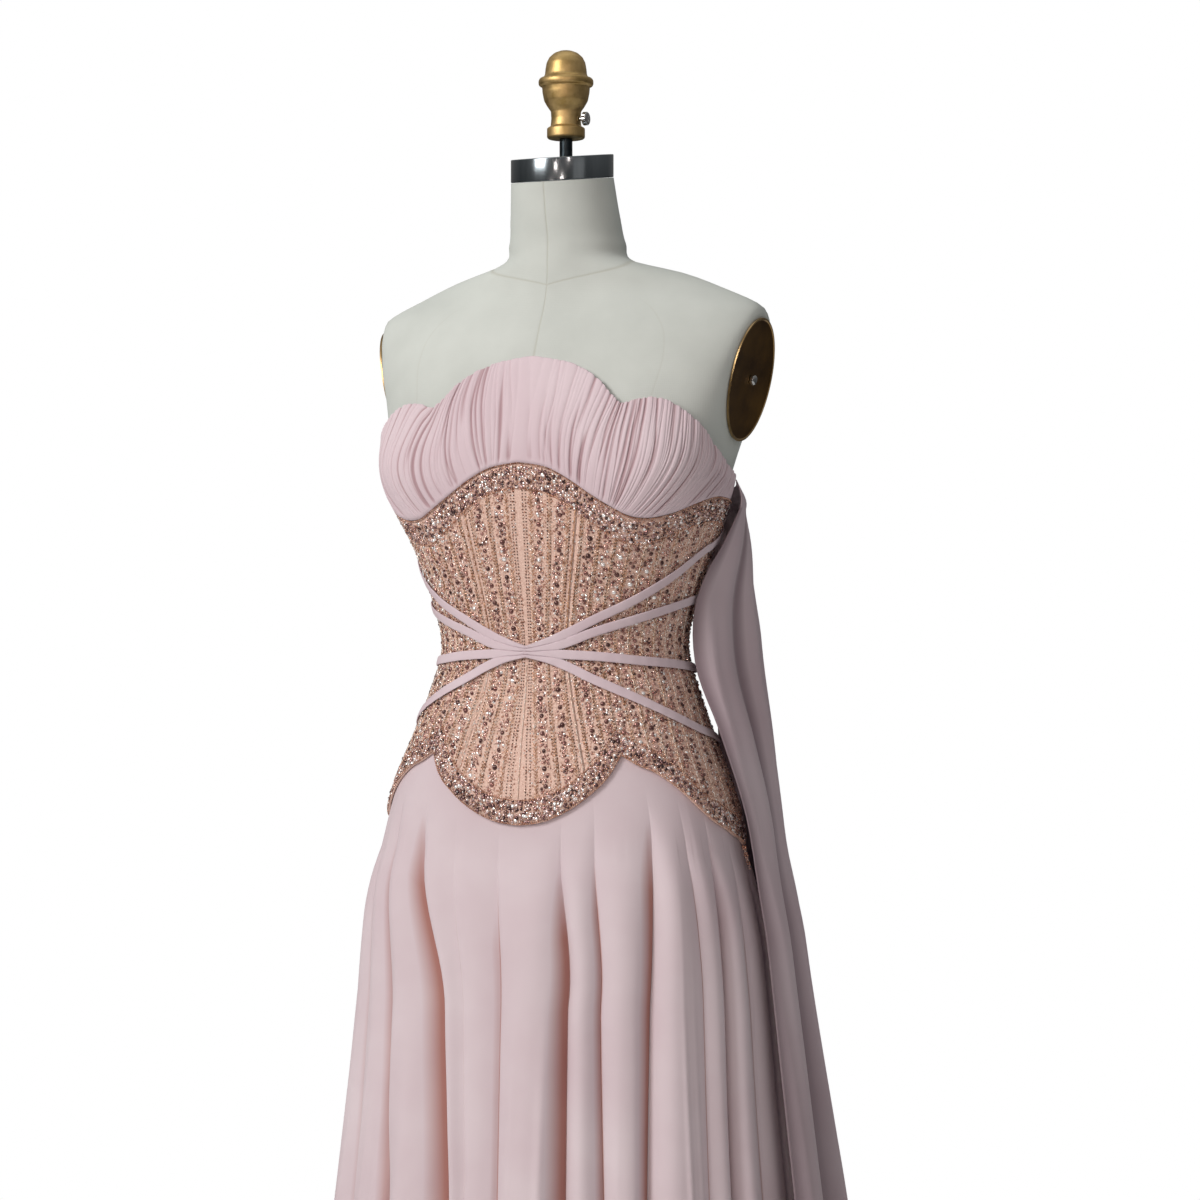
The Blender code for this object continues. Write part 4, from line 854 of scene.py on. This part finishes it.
def buildBeads():
    # each kind of bead on its own lines or field, in the order in which the random numbers are drawn
    b = beadSizes
    random = np.random.default_rng(b["seed"])

    def chance(spots):
        # an even draw between 0 and 1 for each spot
        return random.uniform(0, 1, len(spots))

    def lay(name, spots, radii=1.0):
        # sizes, turns and tints are drawn in this order; clear stones are nearly white
        shape, radius, least, most, first, second, clear, lift, tilt, glass = beadKinds[name]
        count = len(spots)
        sizes = radii * radius * random.uniform(least, most, count)
        turns = random.uniform(0, 6.28, count)
        tints = random.beta(first, second, count) if first else random.uniform(0.0, second, count)
        if clear:
            tints = np.where(chance(spots) < clear, 1.0, 0.92 * tints)
        scatter(name, shape, spots, sizes, turns, tints, glass, tilt == 0.0, lift, tilt)

    lay("rowStones", lineSpots([(s * angle, phase, 0) for angle, phase in b["rows"] for s in bothSides], b["repeat"]))

    # medium stones: kept near the rows, off the large stones
    spots = lattice(-95, 95, b["fieldHeights"], *b["clusterField"])
    across, distance = nearestRow(spots)
    keep = inField(spots) & (across < b["rowReach"]) & (distance > b["stoneRoom"])
    keep &= chance(spots) < unit(1.5 - across / b["rowReach"])
    lay("clusterStones", spots[keep])

    # filler seed beads: dense beside the rows and on the sides, few in the strips between
    spots = lattice(-95, 95, b["fieldHeights"], *b["fillerField"])
    across, distance = nearestRow(spots)
    reach, centres, halves = mirrored(spots[:, 0]), *np.array(b["bare"]).T
    width = halves * np.where(spots[:, 1] > 1.07, 1.0, 0.8)[:, None]
    bare = (np.abs(reach[:, None] - centres) < width).any(axis=1)
    density = np.where(reach > b["sideFrom"], 0.85, np.where(across < b["fillerReach"], 0.9, 0.5))
    keep = inField(spots) & ~bare & (distance > b["fillerRoom"])
    keep &= chance(spots) < density
    lay("fillerBeads", spots[keep])

    # herringbone: two short bugles lean towards each other at each step up a strip
    bones = lineSpots([(s * angle, 0.5 * (lean > 0), lean * s) for angle in b["strips"] for s in bothSides
                       for lean in bothSides], b["boneStep"])
    bones[:, 0] += bones[:, 2] * b["boneAside"] / degreeLength(*bones.T[:2], cloth["corsetOuter"])
    count = len(bones)
    scatter("herringboneBugles", tubeBead(), bones, np.tile(b["bone"], (count, 1)),
            bones[:, 2] * math.pi / 4 + random.normal(0, 0.12, count), chance(bones), bugleGlass)

    # dark seed beads in dotted lines
    lay("dottedLines", lineSpots([(s * angle, 0.5 * (s > 0), 0) for angle in b["dotLines"] for s in bothSides],
                                 b["dotStep"]))

    # bugles: dashes at the princess seams and on the sides, and at centre front below the waist
    lines = [(s * angle, 0, 0) for angle in b["bugleLines"] for s in bothSides]
    dashes = lineSpots([*lines, (0, 0, 0)], b["dashStep"])
    dashes = dashes[(dashes[:, 0] != 0.0) | (dashes[:, 1] < b["lowDashTop"])]
    count = len(dashes)
    silver = (dashes[:, 1] < 1.07) | (np.abs(dashes[:, 0]) > 40.0)
    tints = np.where(silver, random.uniform(0.7, 1.0, count), random.uniform(0.0, 0.5, count))
    scatter("bugleDashes", tubeBead(), dashes, np.tile(b["dash"], (count, 1)),
            math.pi / 2 + random.normal(0, 0.04, count), tints, bugleGlass, lift=0.0002)

    # the borders: a dense mix of stones with seed beads between
    spots = lattice(-180, 180, b["borderHeights"], *b["stoneField"])
    spots = spots[inBorder(spots, b["stoneInset"], cloth["borderDepth"])]
    lay("borderStones", spots, random.choice(b["borderRadii"], len(spots), p=b["borderShares"]))
    spots = lattice(-95, 95, b["borderHeights"], *b["seedField"])
    lay("borderSeeds", spots[inBorder(spots, b["seedInset"], cloth["borderDepth"] + b["seedOver"])])

    # edge lines of fine gold seed beads: one along each edge and one where each border ends
    turn, parts = np.linspace(-179.9, 179.9, 4000), []
    for curve, rise in ((upperLine, 0.0002), (lowerEdge, 0.0009), (upperLine, -0.0005 - cloth["borderDepth"]),
                        (lowerEdge, cloth["borderDepth"] + 0.001)):
        line = figure(turn, curve(turn) + rise, cloth["corsetOuter"])
        arc = np.concatenate([[0], np.cumsum(np.linalg.norm(np.diff(line, axis=0), axis=-1))])
        spots = np.interp(np.arange(0, arc[-1], b["edgeStep"]), arc, turn)
        parts.append(stacked(spots, curve(spots) + rise))
    lay("edgeLines", np.concatenate(parts))

    # the back panels, mostly under the cape: a coarser filling
    back = np.concatenate([lattice(start, start + 85, b["backHeights"], *field) for start, *field in b["backField"]])
    lay("backFillerBeads", back[inField(back) & (nearestRow(back)[1] > b["backRoom"])])


buildBeads()
print("beads made")


strapSizes = {
    "width": 0.009, "flatWidth": 0.0105, "steps": 150,
    "thickness": 0.0016, "lift": 0.0008, "pinch": 0.0026, "borderRise": 0.0014,
    # angle and height along each route
    "routes": {
        1: ((0, 1.0743), (13, 1.0842), (30, 1.103), (47, 1.1205), (66, 1.143), (85, 1.168), (108, 1.187)),
        2: ((0, 1.0715), (13, 1.0762), (28, 1.0885), (48, 1.101), (71, 1.113), (91, 1.121), (130, 1.129),
            (177, 1.132)),
        3: ((0, 1.0686), (13, 1.0676), (31, 1.0655), (54, 1.061), (74, 1.058), (95, 1.054), (130, 1.05),
            (177, 1.048)),
        4: ((0, 1.0657), (13, 1.059), (28, 1.0425), (45, 1.026), (65, 1.008), (99, 0.985), (135, 0.976),
            (177, 0.973)),
    },
    "knotCentre": 1.07, "knotHalfAngle": 4.0, "knotMiddle": 0.0058, "knotEnd": 0.0078, "knotRise": 0.0042,
}


def buildStrap(sideSign, word, number):
    # a flattened tube: a rounded oblong section carried along the route, narrow and creased at the crossing
    s = strapSizes
    route = s["routes"][number]
    reach = -0.5 + (route[-1][0] + 0.5) * np.linspace(0.0, 1.0, s["steps"]) ** 1.25
    height = smoothCurve(reach, route)
    lay = cloth["corsetOuter"] + s["borderRise"] + s["lift"] + 0.0001 * sideSign
    centre, normal, _ = surfaceFrame(lambda a, h: figure(a, h, lay), sideSign * reach, height)
    across = np.cross(normal, normalised(np.gradient(centre, axis=0))) * sideSign
    # as wide as the space between the routes until they part
    others = [smoothCurve(reach, s["routes"][k]) for k in (number - 1, number + 1) if k in s["routes"]]
    half = 0.5 * np.minimum(s["width"], 1.02 * np.abs(np.array(others) - height).min(axis=0))
    opening = unit((2 * half - s["pinch"]) / (s["width"] - s["pinch"]))
    # each point of the section: cosine and sine of its turn, to powers below 1
    turn = wholeTurn(20)
    sideways = np.sign(np.cos(turn)) * np.abs(np.cos(turn)) ** 0.62
    outward = np.sign(np.sin(turn)) * np.abs(np.sin(turn)) ** 0.8
    phase = np.random.default_rng(60 + 10 * number + sideSign).uniform(0, 6)
    ripple = 0.00022 * np.sin(reach * 0.9 + phase) * (1.0 - 0.5 * opening)
    half, opening, ripple = half[:, None], opening[:, None], ripple[:, None]
    pleat = 0.0005 * (1.0 - opening) * np.cos(3.0 * math.pi * sideways)
    thick = 0.5 * s["thickness"] * (1.0 + 0.9 * (1.0 - opening))
    rise = thick * outward + thick + ripple + pleat * unit(outward)
    rings = centre[:, None] + across[:, None] * (half * sideways)[..., None] + normal[:, None] * rise[..., None]
    strap = loftMesh(f"strap_{word}_{number}_cloth", rings[:, ::-1], 60.0)
    # painted shade: darker on the underside that faces the corset and along the creased edges where the strap is
    # pinched; the end caps are slightly shaded
    fold = unit(0.75 + 0.25 * outward - 0.5 * (1 - opening) * (np.abs(sideways) > 0.8))
    paintPoints(strap, "fold", fold[:, ::-1], [0.5, 0.5])
    finishPiece(strap, strapChiffon, "chiffon", f"strap_{word}_{number}")


def buildKnot():
    # a bow-tie patch: low in the middle, higher at both ends, with creases that run out along the straps
    s = strapSizes
    rest = cloth["corsetOuter"] + 0.0013
    share, up = np.meshgrid(np.linspace(-1.0, 1.0, 41), np.linspace(-1.0, 1.0, 33))
    height = s["knotCentre"] + up * (s["knotMiddle"] + (s["knotEnd"] - s["knotMiddle"]) * np.abs(share) ** 1.2)
    bulge = s["knotRise"] * np.sqrt(unit(1.0 - 0.97 * up ** 2)) * (0.25 + 0.75 * bell(share / 0.42))
    wave = np.cos(up * math.pi * 4.0)
    outer = figure(share * s["knotHalfAngle"], height, rest + bulge - 0.0006 * wave * unit(0.35 + np.abs(share)))
    knot = wallMesh("strapCrossing", figure(share * s["knotHalfAngle"], height, rest), outer)
    # painted shade: darker in each crease where the patch sinks
    fold = unit(0.6 - 0.4 * wave)
    paintPoints(knot, "fold", fold, fold)
    finishPiece(knot, strapChiffon, "chiffon", "strap_knot")


for sideSign, word in sides:
    for number in strapSizes["routes"]:
        buildStrap(sideSign, word, number)
buildKnot()
print("straps made")


skirtSizes = {
    # height, half width, front, back
    "sections": (
        (0.012, 0.292, 0.228, 0.255), (0.25, 0.257, 0.195, 0.22), (0.52, 0.225, 0.162, 0.184),
        (0.64, 0.213, 0.148, 0.168), (0.76, 0.202, 0.134, 0.152), (0.82, 0.1945, 0.126, 0.143),
        (0.848, 0.19, 0.1215, 0.139), (0.88, 0.1824, 0.1149, 0.1324),
    ),
    "hips": 0.88, "foldTop": 0.93, "foldRise": 0.034,
    # folds lie between sharp valleys: angle at the hips, angle 0.14 m lower, angle 0.4 m lower, how far the
    # valley stays filled, and the height of the ridge that follows it
    "valleys": (
        (-174, -174, -174, 0.0, 0.9), (-158, -158, -158, 0.2, 0.7), (-143, -143, -143, 0.0, 1.0),
        (-124, -124, -124, 0.1, 0.8), (-107, -106, -105, 0.0, 0.8), (-90, -88, -86, 0.1, 0.8),
        (-74, -71, -66, 0.0, 0.8), (-60, -56, -48, 0.3, 0.7), (-46, -39.5, -30, 0.15, 0.9),
        (-29, -18.5, -10.5, 0.0, 0.65), (-15, -11.5, -6.5, 0.45, 0.6), (-3.0, -1.5, 0.0, 0.3, 1.0),
        (8.5, 14.5, 15.0, 0.0, 0.7), (18.5, 23.5, 25.0, 0.15, 0.8), (40, 39.8, 37.0, 0.0, 1.0),
        (55, 57.0, 55.0, 0.5, 0.75), (69.5, 69.0, 65.0, 0.05, 0.8), (84, 82.0, 79.0, 0.3, 0.7),
        (99, 97.5, 96.5, 0.1, 0.8), (112, 110, 110, 0.2, 0.8), (127, 127, 127, 0.0, 1.0),
        (147, 147, 147, 0.1, 0.8), (166, 166, 166, 0.15, 0.9),
    ),
    "frontColumns": 440, "backColumns": 230, "frontRows": 70, "backRows": 50,
    # seed, count and depth
    "smallFolds": (71, 120, 0.0024),
}
capeSizes = {
    # height, half width, back, squareness, front edge, rear edge, how far the front edge is drawn in
    "sections": (
        (0.014, 0.316, 0.292, 2.3, 82.0, 160.0, 0.0), (0.25, 0.284, 0.25, 2.4, 82.0, 159.0, 0.0),
        (0.52, 0.25, 0.209, 2.5, 82.5, 158.0, 0.0), (0.82, 0.211, 0.162, 2.6, 85.5, 157.0, 0.001),
        (0.9, 0.202, 0.153, 2.8, 87.0, 156.0, 0.004), (0.99, 0.19, 0.145, 3.1, 87.0, 155.0, 0.022),
        (1.06, 0.18, 0.139, 3.2, 86.0, 155.0, 0.038), (1.12, 0.1775, 0.134, 3.1, 87.0, 157.0, 0.035),
        (1.18, 0.183, 0.126, 2.6, 92.0, 164.0, 0.016), (1.21, 0.184, 0.1185, 2.3, 95.6, 170.0, 0.004),
    ),
    "topOffset": 0.0072, "topDrop": 0.003, "wall": 0.0011, "topEdges": (96.2, 174.0),
    "folds": 5, "foldRise": 0.01, "drawReach": 0.39, "columns": 160, "rows": 80, "smallFolds": (72, 70, 0.0025),
}


def valleyPlaces(height):
    # each valley's angle half way down its drift, and its angle at every height asked for, over a turn and a half
    table = np.array(skirtSizes["valleys"], dtype=float)
    table = np.concatenate([table, table[:12] + [360.0, 360.0, 360.0, 0.0, 0.0]])
    hips, middle, low = table.T[:3]
    height = np.asarray(height, float)[..., None]
    return middle, (hips + (middle - hips) * ease((0.89 - height) / 0.15)
                    + (low - middle) * ease((0.82 - height) / 0.34))


def pick(values, which):
    # for each point, the one of its row of values that which names
    return np.take_along_axis(values, which[..., None], axis=-1)[..., 0]


def foldPlace(angleDeg, height):
    # the fold that a point lies on, its share of the way across it, and its fill and ridge at both valleys
    angleDeg, height = np.broadcast_arrays(np.asarray(angleDeg, float), np.asarray(height, float))
    table = np.array(skirtSizes["valleys"], dtype=float)
    count, first = len(table), table[0, 0]
    wrapped = (angleDeg - first) % 360.0 + first
    places = valleyPlaces(height)[1][..., :count + 1]
    which = np.clip((places <= wrapped[..., None] + 1e-7).sum(axis=-1) - 1, 0, count - 1)
    low = pick(places, which)
    fill = table[:, 3]
    return (wrapped - low) / (pick(places, which + 1) - low), fill[which], fill[(which + 1) % count], table[which, 4]


def foldRise(angleDeg, height):
    # ridge = sin(pi * share ^ 0.75) ^ 0.85: steep beside the valley it leaves, then a long slope to the next;
    # it grows quickly below the corset's edge and then slowly down to the hem
    share, fill, nextFill, top = foldPlace(angleDeg, height)
    below = np.minimum(lowerEdge(angleDeg) - 0.003, skirtSizes["foldTop"]) - height
    grow = 0.45 * ease(below / 0.11) + 0.55 * unit(below / 0.89) ** 0.85
    floor = fill * (1 - share) + nextFill * share
    ridge = np.sin(math.pi * unit(share) ** 0.75) ** 0.85
    return skirtSizes["foldRise"] * grow * (floor + (top - floor) * ridge - 0.25)


def smallFolds(angleDeg, height, seed, count, depth):
    # fine soft pleats of uneven start, depth and lean, that fade in below the hips
    random = np.random.default_rng(seed)
    rise = 0.0
    for _ in range(count):
        centre, lean, spread, begin, share = (
            random.uniform(*span) for span in ((-180, 180), (-3.0, 3.0), (0.7, 3.0), (0.55, 0.9), (0.25, 1.0))
        )
        away = wrap(angleDeg - centre - lean * (0.9 - height))
        rise = rise + share * ease((begin - height) / 0.35) * bell(away / spread)
    return depth * rise


def skirtPoint(angleDeg, height, offset):
    # on the figure above the hips, and below them a flared section, both moved out by the folds
    angleDeg, height = np.broadcast_arrays(np.asarray(angleDeg, float), np.asarray(height, float))
    hips = skirtSizes["hips"]
    below = np.minimum(height, hips)
    rise = foldRise(angleDeg, height)
    onBody = figure(angleDeg, np.maximum(height, hips), offset + rise)
    move = offset - cloth["skirtOuter"] + rise + smallFolds(angleDeg, below, *skirtSizes["smallFolds"])
    radii = [smoothCurve(below, skirtSizes["sections"], k) + move for k in (1, 2, 3)]
    frontSquare = smoothCurve(hips, figureSizes["sections"], 4)
    frontSquare = frontSquare + (2.25 - frontSquare) * unit((hips - below) / 0.15)
    flared = stacked(*roundedSection(np.radians(angleDeg), *radii, frontSquare, 2.0), below)
    return np.where((height >= hips)[..., None], onBody, flared)


def buildSkirt(name, start, end, columns, rows, node):
    # columns lean with the valleys, so that each valley lies on a column of its own
    low = cloth["hem"]
    valleys = valleyPlaces(low)[0]
    inside = (valleys > start) & (valleys < end)
    spots = np.array([start, *valleys[inside], end])
    shared = np.unique(np.concatenate([np.linspace(start, end, columns + 1), spots]))
    which = np.clip(np.searchsorted(spots, shared, side="right") - 1, 0, len(spots) - 2)
    share = (shared - spots[which]) / (spots[which + 1] - spots[which])
    up = np.linspace(0.0, 1.0, rows + 1)[:, None] ** 0.85
    angles = np.broadcast_to(shared, (rows + 1, len(shared)))
    for _ in range(4):
        height = low + (lowerEdge(angles) + cloth["skirtTuck"] - low) * up
        ends = np.ones(height.shape + (1,))
        places = np.concatenate([ends * start, valleyPlaces(height)[1][..., inside], ends * end], axis=-1)
        left, right = (pick(places, np.broadcast_to(fold, height.shape)) for fold in (which, which + 1))
        angles = left + share * (right - left)
    outer = skirtPoint(angles, height, cloth["skirtOuter"])
    skirt = wallMesh(name, skirtPoint(angles, height, cloth["skirtOuter"] - 0.0012), outer)
    # painted shade, warm and dark: on the shaded side of each fold just before the next valley, and just past each
    # valley; it grows in below the corset's edge, less where the next valley stays filled, and the inner face is
    # darker
    share, _, nextFill, _ = foldPlace(angles, height)
    shade = unit((share - 0.42) / 0.5) ** 1.4 + unit((0.04 - share) / 0.04)
    fold = unit(1.0 - unit((lowerEdge(angles) - height) / 0.12) * shade * (1.0 - nextFill * 1.4))
    paintPoints(skirt, "fold", fold, fold * 0.6)
    finishPiece(skirt, skirtChiffon, "chiffon", node)
    declareCloth(outer)


def capePoint(fraction, height, outer):
    # fraction runs from the front edge (0) to the rear one (1); a waved section behind the wearer's left
    fraction, height = np.broadcast_arrays(fraction, height)
    c = capeSizes
    halfWidth, back, square, frontEdge, rearEdge, draw = [smoothCurve(height, c["sections"], k) for k in range(1, 7)]
    angle = frontEdge + (rearEdge - frontEdge) * fraction
    wave = 0.5 - 0.5 * np.cos(2 * math.pi * c["folds"] * fraction + 0.9 * np.sin(fraction * 5.0))
    grow = unit((c["sections"][-1][0] - height) / 0.12)
    rise = c["foldRise"] * wave * grow * (1.0 + 0.8 * (1.0 - height))
    curl = draw * unit(1.0 - fraction / c["drawReach"]) ** 2
    move = rise - curl + c["wall"] * outer + foldRise(angle, height)
    move = move + smallFolds(angle, np.minimum(height, 0.9), *c["smallFolds"])
    x, y = roundedSection(np.radians(angle), halfWidth + move, back + move, back + move, 2.25, square)
    return stacked(x, y, height), wave


def buildCape():
    # hanging rows up to the widest one, and above it rows that bend in to the sewn edge along the back's top
    c = capeSizes
    fraction = np.linspace(0.0, 1.0, c["columns"] + 1)
    low, top = c["sections"][0][0], c["sections"][-1][0]
    height = top + (low - top) * np.linspace(1.0, 0.0, c["rows"])[:, None] ** 1.2
    angles = c["topEdges"][0] + fraction * (c["topEdges"][1] - c["topEdges"][0])
    up = np.linspace(0.0, 1.0, 9)[1:, None]
    sewn = top + (edgeHeight(neckline, angles) - c["topDrop"] - top) * up
    faces = []
    for outer in (0.0, 1.0):
        hanging, wave = capePoint(fraction, height, outer)
        offset = c["topOffset"] + c["wall"] * outer
        swelling = hanging[-1] - figure(angles, top, offset)
        faces.append(np.concatenate([hanging, figure(angles, sewn, offset) + swelling * (1.0 - up ** 2)[..., None]]))
    cape = wallMesh("capePanel", *faces)
    # painted shade: darker in the troughs between the waves, darker towards the bottom and darker on the inner face;
    # the sewn top takes the lit colour
    fold = np.concatenate([wave * (0.35 + 0.65 * unit((height - 0.6) / 0.45)) + 0.12, np.full(sewn.shape, 0.8)])
    paintPoints(cape, "fold", fold, fold * 0.7)
    finishPiece(cape, shadedCapeChiffon, "chiffon", "cape")
    declareCloth(faces[1])


tailSizes = {"beads": 11, "length": 0.0215, "radius": 0.00135, "sway": 0.0012, "clearance": 0.0021, "strands": 2}


def buildTail(sideSign, word):
    # two short strings of round beads that hang, twisted together, from the tip at the side seam
    t = tailSizes
    latitude = np.radians([-90.0, -50.0, -15.0, 15.0, 50.0, 90.0])
    ball = turned(stacked(np.maximum(np.cos(latitude), 0.02), np.sin(latitude)), 9).reshape(-1, 3)
    share = np.tile(np.linspace(0.0, 1.0, t["beads"]), t["strands"])
    height = float(lowerEdge(side)) - 0.0016 - t["length"] * share
    turn = share * 9.0 + math.pi * np.repeat(np.arange(t["strands"]), t["beads"])
    centre = skirtPoint(side, height, cloth["skirtOuter"]) + stacked(
        t["clearance"] + t["sway"] * (1 + np.cos(turn)), t["sway"] * np.sin(turn), 0.0)
    points = centre[:, None, :] + ball * (t["radius"] * (1.0 - 0.45 * share))[:, None, None]
    points[..., 0] *= sideSign
    faces = gridFaces(6, 9, closed=True)[:, ::sideSign] + (np.arange(len(share)) * len(ball))[:, None, None]
    tail = makeMesh("sideTail_" + word, points, [faces.reshape(-1, 4)])
    tail.data.shade_smooth()
    paintPoints(tail, "tint", np.repeat(0.3 + 0.5 * np.sin(share * 40.0) ** 2, len(ball)))
    finishPiece(tail, seedGlass, "beaded_mesh", "side_tail_" + word)


buildSkirt("skirtFront", *frontSpan, skirtSizes["frontColumns"], skirtSizes["frontRows"], "skirt_front")
buildSkirt("skirtBack", side + sideGap, 360 - side - sideGap, skirtSizes["backColumns"], skirtSizes["backRows"],
           "skirt_back")
buildCape()
for sideSign, word in sides:
    buildTail(sideSign, word)
print("skirt, cape and tails made")


stageSizes = {
    "azimuth": 23.0, "distance": 3.0, "height": 1.12, "aside": 0.034, "lens": 90.0, "sensor": 36.0,
    "floorRings": (2.3, 1.8, 1.2, 0.6, 0.0005), "middle": (0, 0, 1.1),
    # lamps: metres towards the camera, to its right and up, width and height, watts and colour
    "lamps": {
        "keySoftbox": (2.0, -2.7, 2.9, 1.4, 1.6, 95.0, "#fffaf6"),
        "fillPanel": (3.0, 1.6, 1.5, 1.5, 2.0, 4.0, "#fff4ee"),
        "topPanel": (0.0, 0.0, 3.4, 1.6, 1.6, 6.0, "#ffffff"),
        **{f"sparkLamp_{number}": (3.0, *place, 0.14, 0.14, 4.5, "#ffe6da")
           for number, place in enumerate(((-1.1, 2.1), (0.3, 2.5), (-0.4, 1.5), (-1.7, 1.2)))},
    },
}


def buildStage():
    # a pale floor that fades into the white round it, and a soft grey room that the camera sees as white
    radii = np.array(stageSizes["floorRings"])
    turn = wholeTurn(96)
    points = stacked(radii[:, None] * np.cos(turn), radii[:, None] * np.sin(turn), 0.0)
    floor = makeMesh("paleFloor", points, [gridFaces(len(radii), 96, closed=True)])
    floor.data.shade_smooth()
    material, tree = newMaterial("whiteStudioFloor", {"Roughness": 0.6, "Base Color": linear("#ececea")})
    away = addNode(tree, "VectorMath", {"operation": "LENGTH"}, {0: addNode(tree, "TexCoord", out="Object")}, "Value")
    fade = addNode(tree, "MapRange", {
        "From Min": 1.2, "From Max": radii[0] * 0.96, "interpolation_type": "SMOOTHSTEP"}, {"Value": away})
    glow = addNode(tree, "Emission", {"Color": (1, 1, 1, 1), "Strength": 1.0})
    lit = tree.nodes["Principled BSDF"].outputs["BSDF"]
    mixed = addNode(tree, "MixShader", links={0: fade, 1: lit, 2: glow})
    tree.links.new(mixed, tree.nodes["Material Output"].inputs["Surface"])
    floor.data.materials.append(material)

    world = bpy.data.worlds.new("softStudio")
    bpy.context.scene.world = world
    world.use_nodes = True
    tree = world.node_tree
    tree.nodes.clear()
    up = addNode(tree, "SeparateXYZ", links={"Vector": addNode(tree, "TexCoord", out="Generated")}, out="Z")
    sky = addNode(tree, "MapRange", {"From Min": -0.6, "From Max": 0.9}, {"Value": up})
    tone = addNode(tree, "ValToRGB", {
        "stops": ((0.0, "#5c5a5a"), (0.35, "#8e8b8a"), (0.75, "#eeeae8"), (1.0, "#fffdfa"))}, {"Fac": sky})
    room = addNode(tree, "Background", {"Strength": 0.36}, {"Color": tone})
    white = addNode(tree, "Background", {"Color": (1, 1, 1, 1), "Strength": 1.0})
    seen = addNode(tree, "LightPath", out="Is Camera Ray")
    addNode(tree, "OutputWorld", links={"Surface": addNode(tree, "MixShader", links={0: seen, 1: room, 2: white})})


def buildLightAndCamera():
    # everything is placed from the camera's own directions: towards it, to its right, and up
    s = stageSizes
    scene = bpy.context.scene
    turn = math.radians(s["azimuth"])
    right, back = Vector((math.cos(turn), math.sin(turn), 0)), Vector((math.sin(turn), -math.cos(turn), 0))
    for name, (ahead, aside, up, width, height, power, colour) in s["lamps"].items():
        light = bpy.data.lights.new(name, "AREA")
        light.shape = "RECTANGLE"
        light.size, light.size_y, light.energy, light.color = width, height, power, linear(colour)[:3]
        item = bpy.data.objects.new(name, light)
        item.location = back * ahead + right * aside + Vector((0, 0, up))
        item.rotation_euler = (Vector(s["middle"]) - item.location).to_track_quat("-Z", "Y").to_euler()
        scene.collection.objects.link(item)
    camera = bpy.data.cameras.new("camera")
    camera.lens, camera.sensor_width = s["lens"], s["sensor"]
    item = bpy.data.objects.new("camera", camera)
    item.location = back * s["distance"] + right * s["aside"] + Vector((0, 0, s["height"]))
    item.rotation_euler = (-back).to_track_quat("-Z", "Y").to_euler()
    scene.collection.objects.link(item)
    scene.camera = item
    scene.view_settings.view_transform = "Standard"


buildStage()
buildLightAndCamera()
bpy.context.view_layer.update()
print("scene ready")
